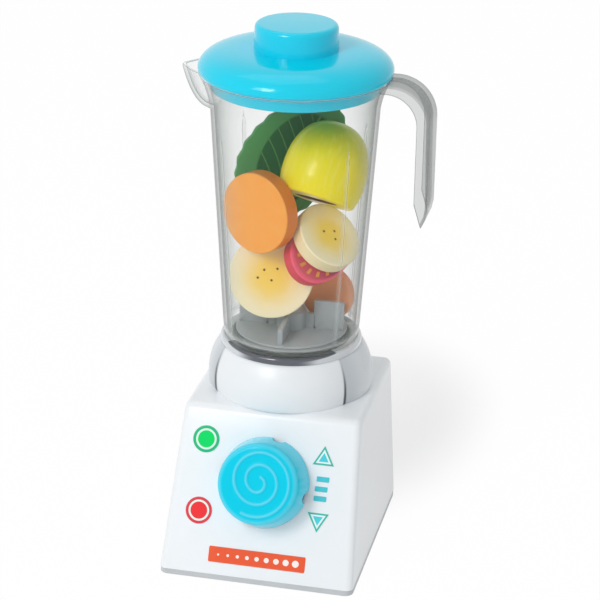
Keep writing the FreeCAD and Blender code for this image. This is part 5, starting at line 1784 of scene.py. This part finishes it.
# ------------------------------------------------------------------ play food
@dataclass
class Food:
    """All the play food in the jar."""

    slice_ease: float = 1.0
    pear_radius: float = 21.6
    pear_belly: float = 24.4
    belly_at: float = 13.0
    pear_height: float = 46.0
    blunt: float = 0.85
    pocket: tuple[float, float, float] = (13.0, 6.5, 2.0)
    berry_thick: float = 8.0
    leaf_thick: float = 3.6
    teeth: int = 26
    tooth: float = 1.0
    lobe: float = 4.5
    lobe_at: float = 115.0
    lobe_spread: float = 0.7

    def piece(self, name: str, node: str, slot: str, paint: PaintedWood, grid: Array,
              closed_ends: bool = True, sharp: float = 34.0) -> None:
        """Make one piece of food.

        Args:
            name: Its name.
            node: The node that it stands for.
            slot: The record's material slot.
            paint: Its finish, which holds its frame.
            grid: Its points in that frame.
            closed_ends: Whether the grid's last row joins the first.
            sharp: Degrees above which an edge is sharp.
        """
        piece = Piece(name, Body.ROTOR, paint.material(), slot, (node,), sharp)
        piece.add(paint.place.put(grid), closed_ends).build()

    def round(self, radius: float, thick: float) -> Array:
        """Round slice with a rounded rim and its face in steps.

        Args:
            radius: Its radius.
            thick: Its thickness.

        Returns:
            Grid of points, with the cut face at nought.
        """
        ease = self.slice_ease
        section = eased([(0.0, -thick, 0.0), (radius, -thick, ease), (radius, 0.0, ease), (0.0, 0.0, 0.0)], 6)
        face = np.column_stack([np.linspace(radius - ease, 0, 12)[1:-1], np.zeros(10)])
        return turned(np.concatenate([section[:18], face, section[18:]]), 120)

    def slices(self) -> None:
        """Orange, both bananas and the peach."""
        cream = (252, 240, 200)
        orange = OrangePaint("orange_paint", (251, 160, 60), 0.42, coat=0.2, rim=(240, 132, 34),
                             place=Place.facing((-17.8, -22.3, 202.9), -25, 3))
        banana = BananaPaint("banana_paint", cream, 0.45, rim=(248, 224, 168), radius=24.5,
                             place=Place.facing((-9.6, -13.7, 162.1), 8, 16),
                             seeds=((-4.0, 3.5), (3.6, 4.4), (-7.6, -1.2), (0.4, -2.4)))
        small = BananaPaint("banana_paint_small", cream, 0.45, rim=(250, 234, 186), radius=20.0,
                            place=Place.facing((23.9, -10.0, 189.9), 58, 44), gold=(252, 220, 96),
                            seeds=((-3.0, 3.0), (4.2, 1.0), (1.8, -3.6)))
        peach = PaintedWood("peach_paint", (255, 178, 130), 0.45, rim=(250, 164, 118),
                            place=Place.facing((17.6, 11.5, 143.7), -14, 4))
        for name, node, slot, paint, radius, thick in (
            ("orange_round", "orange_slice", "orange_wood", orange, 23.4, 10.5),
            ("banana_round", "banana_slice", "cream_wood", banana, 24.5, 9.5),
            ("banana_round_small", "banana_slice_small", "cream_wood", small, 20.0, 9.0),
            ("peach_round", "peach_slice", "peach_wood", peach, 16.4, 6.0),
        ):
            self.piece(name, node, slot, paint, self.round(radius, thick))

    def strawberry(self) -> None:
        """Strawberry: x = L / 2 cos a, y = W / 2 sin a (1 - n cos a)."""
        paint = BerryPaint("berry_paint", (190, 108, 100), 0.42, rim=(226, 74, 92),
                           place=Place.facing((20.25, -7.1, 176.3), 51.8, 30.3, -2.2))
        a = compass(120)
        narrow = 1 - paint.narrowing * np.cos(a)
        outline = np.column_stack([paint.length / 2 * np.cos(a), paint.width / 2 * np.sin(a) * narrow])
        grid = plate(outline, -self.berry_thick, 0.0, 1.0, 10)
        self.piece("strawberry_cut", "strawberry_slice", "berry_wood", paint, grid, closed_ends=False)

    def pear(self) -> None:
        """Pear half: a bulging side, a blunt crown, and a cut face with an oval pocket.

        With b and c quarter turns, the side's radius grows with sin b to the belly, and the
        crown's radius and height follow cos c and sin c to the blunt power.
        """
        length, width, depth = self.pocket
        paint = PearPaint("pear_paint", (234, 216, 20), 0.4, coat=0.25, pocket=(length, width),
                          place=Place.facing((14.1, -4.6, 208.2), -22, -60))
        b, c = np.linspace(0, QUARTER, 14)[1:], np.linspace(0, QUARTER, 40)[1:]
        side_r = self.pear_radius + (self.pear_belly - self.pear_radius) * np.sin(b)
        crown_r = self.pear_belly * np.maximum(np.cos(c), 0) ** self.blunt
        crown_z = -self.belly_at - (self.pear_height - self.belly_at) * np.sin(c) ** self.blunt
        grid = turned(np.concatenate([
            np.column_stack([np.linspace(0, self.pear_radius - 1.0, 56), np.zeros(56)]),
            [[self.pear_radius - 0.5, -0.06], [self.pear_radius - 0.1, -0.4]],
            np.column_stack([side_r, -self.belly_at * b / QUARTER]),
            np.column_stack([crown_r, crown_z]),
        ]))
        oval = np.hypot(grid[..., 0] / length, grid[..., 1] / width)
        grid[..., 2] -= depth * smooth_step((1.02 - oval) / 0.1) * (grid[..., 2] > -0.01)
        self.piece("pear_block", "pear_half", "pear_wood", paint, grid, sharp=40.0)

    def greens(self) -> None:
        """Leaf: an ellipse with a triangle wave of teeth taken off its radius, and one lobe.

        The lobe is a bell of the angle from its middle: the exponential of minus its square.
        """
        paint = LeafPaint("leaf_paint", (8, 104, 46), 0.5, rim=(88, 150, 88),
                          place=Place.facing((-4.8, 22.3, 222.0), 20, 0, 60))
        a = compass(8 * self.teeth)
        wave = self.tooth - self.tooth * np.abs(((a / FULL_TURN * self.teeth) % 1) - 0.5) * 2
        bell = np.exp(-((wrapped(a - math.radians(self.lobe_at)) / self.lobe_spread) ** 2))
        width, height = (half - wave + self.lobe * bell for half in paint.half)
        outline = np.column_stack([width * np.cos(a), height * np.sin(a)])
        grid = plate(outline, -self.leaf_thick, 0.0, 0.4, 12)
        self.piece("leaf_board_cut", "leaf", "leaf_board", paint, grid, closed_ends=False)

    def build(self) -> None:
        """Make all the food."""
        for make in (self.slices, self.strawberry, self.pear, self.greens):
            make()


# ------------------------------------------------------------------ finishes of plain nodes
def dress_nodes() -> None:
    """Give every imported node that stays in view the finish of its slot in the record."""
    finishes = {
        "white_plastic": Finish("plain_white", (238, 242, 245), 0.4),
        "grey_plastic": Finish("plate_grey", (206, 210, 213), 0.45, grain_depth=0.03),
        "gear_plastic": Finish("gear_acetal", (232, 229, 218), 0.38, coat=0.1),
        "steel": Finish("steel", (176, 178, 182), 0.28, metal=1.0, grain_size=0.3),
        "rotor_plastic": Finish("coupler_grey", (150, 158, 160), 0.4),
        "collar_plastic": Finish("bush_white", (232, 236, 240), 0.35),
        "slate_plastic": Finish("bush_slate", (70, 74, 80), 0.35),
        "blue_plastic": Finish("plain_blue", (5, 214, 242), 0.2, coat=0.5),
        "clear_plastic": Finish("bush_clear", (214, 222, 220), 0.3),
    }
    slots = {part["node"]: part["material_slot"] for part in frame["record"]["subparts"]}
    made: dict[str, bpy.types.Material] = {}
    for name, thing in frame["nodes"].items():
        finish = finishes.get(slots.get(name), finishes["white_plastic"])
        if finish.name not in made:
            made[finish.name] = finish.material()
        for slot in thing.material_slots:
            slot.material = made[finish.name]
        LOG.info("node %s: %s", name, finish.name)


# ------------------------------------------------------------------ room
@dataclass
class Studio:
    """Floor, world, lamps and camera."""

    camera_place: Point = (266.113, -1201.267, 659.091)
    yaw: float = 0.21416
    pitch: float = 0.39734
    roll: float = 0.01951
    focal_pixels: float = 2281.44
    frame_pixels: float = 600.0
    sensor: float = 36.0
    floor_half: float = 6.0
    floor_matt: Colour = (0.95, 0.95, 0.955)
    shade_at: tuple[float, float] = (15.0, 150.0)
    shade_reach: tuple[float, float] = (42.0, 100.0)
    shade_squeeze: float = 0.6
    glow_behind: float = 0.58
    glow_gain: float = 0.4
    sky_level: float = 0.56
    sky_gain: float = 0.44

    def floor(self) -> None:
        """Pale floor that shows white to the eye and keeps the object's shadow.

        The share that glows is least close behind the base: a smooth step of the distance from
        there, measured in an ellipse. So the floor is painted darker there, a painted shadow that
        deepens the real one.
        """
        half = self.floor_half
        mesh = bpy.data.meshes.new("floor")
        corners = [(-half, -half, 0), (half, -half, 0), (half, half, 0), (-half, half, 0)]
        mesh.from_pydata(corners, [], [(0, 1, 2, 3)])
        sheet = Sheet(bpy.data.materials.new("floor_white"))
        matt = sheet.wire("BsdfDiffuse", 0, None, {"Color": (*self.floor_matt, 1)})
        glow = sheet.wire("Emission", 0, None, {"Color": (1, 1, 1, 1), "Strength": 1.0})
        x, y, _ = sheet.split(sheet.place())
        reach = (x - self.shade_at[0]).reach((y - self.shade_at[1]) * self.shade_squeeze)
        # Painted shadow: less glow close behind the base.
        share = sheet.seen() * (reach.step(*self.shade_reach) * self.glow_gain + self.glow_behind)
        mesh.materials.append(sheet.shown(sheet.wire("MixShader", 0, None, {0: share, 1: matt, 2: glow})))
        linked("floor", mesh)

    def world(self) -> None:
        """White surroundings that light the object at a plain level."""
        world = bpy.context.scene.world = bpy.data.worlds.new("studio")
        sheet = Sheet(world)
        strength = sheet.seen() * self.sky_gain + self.sky_level
        sheet.shown(sheet.wire("Background", 0, None, {"Color": (1, 1, 1, 1), "Strength": strength}))

    def lamp(self, name: str, place: Point, aim: Point, size: tuple[float, float], power: float) -> None:
        """Add a rectangular soft lamp.

        Args:
            name: Its name.
            place: Where it hangs, in metres.
            aim: The point that it faces.
            size: Its width and height.
            power: Its power in watts.
        """
        light = bpy.data.lights.new(name, "AREA")
        light.shape, light.energy = "RECTANGLE", power
        light.size, light.size_y = size
        thing = linked(name, light)
        thing.location = place
        x, y, z = np.array(aim) - np.array(place)
        thing.rotation_euler = (math.atan2(math.hypot(x, y), -z), 0, math.atan2(x, -y) + math.pi)

    def lamps(self) -> None:
        """A large key lamp from the upper left front, a window, and a faint fill from above."""
        self.lamp("key", (-1.15, -2.3, 1.75), (0, 0, 0.16), (1.3, 1.1), 17.0)
        self.lamp("window", (-0.42, -1.0, 0.92), (0, 0, 0.2), (0.26, 0.5), 3.4)
        self.lamp("top", (-0.2, 0.25, 1.5), (0, 0, 0.1), (0.9, 0.9), 2.0)

    def camera(self) -> None:
        """Camera from yaw, pitch and roll, with the lens that gives the focal length in pixels."""
        (sin_y, cos_y), (sin_p, cos_p), (sin_r, cos_r) = (
            (math.sin(angle), math.cos(angle)) for angle in (self.yaw, self.pitch, self.roll))
        ahead = np.array([-sin_y * cos_p, cos_y * cos_p, -sin_p])
        right = np.cross(ahead, (0, 0, 1))
        right /= np.linalg.norm(right)
        up = np.cross(right, ahead)
        data = bpy.data.cameras.new("view")
        data.sensor_width = self.sensor
        data.lens = self.focal_pixels * self.sensor / self.frame_pixels
        data.clip_start, data.clip_end = 0.05, 50
        matrix, place = np.eye(4), np.array(self.camera_place) * MM
        matrix[:3] = np.column_stack((cos_r * right + sin_r * up, -sin_r * right + cos_r * up, -ahead, place))
        thing = bpy.context.scene.camera = linked("view", data)
        thing.matrix_world = Matrix(matrix.tolist())

    def build(self) -> None:
        """Set up the room."""
        bpy.context.scene.view_settings.view_transform = "Standard"
        for make in (self.camera, self.floor, self.world, self.lamps):
            make()


def front_frame() -> Place:
    """Frame on the front face at the dial's axis: right along +X, up the face, and outwards.

    Returns:
        The frame, from the dial's joint in the record.
    """
    spin = next(joint for joint in frame["record"]["behaviour"]["joints"] if joint["name"] == "dial_spin")
    out = np.array(spin["axis"], float)
    out /= np.linalg.norm(out)
    return Place(tuple(np.array(spin["pos_m"]) / MM), (1, 0, 0), tuple(np.cross(out, (1, 0, 0))), tuple(out))


def main() -> None:
    """Build the room and every visible piece."""
    logging.basicConfig(level=logging.INFO, format="%(name)s %(message)s")
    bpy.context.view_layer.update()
    Studio().build()
    dress_nodes()
    face = front_frame()
    for part in (BaseShell(), FrontPanel(face), Dial(face), Jar(), Rotor(), Food(), Lid()):
        part.build()


if __name__ == "__main__":
    main()
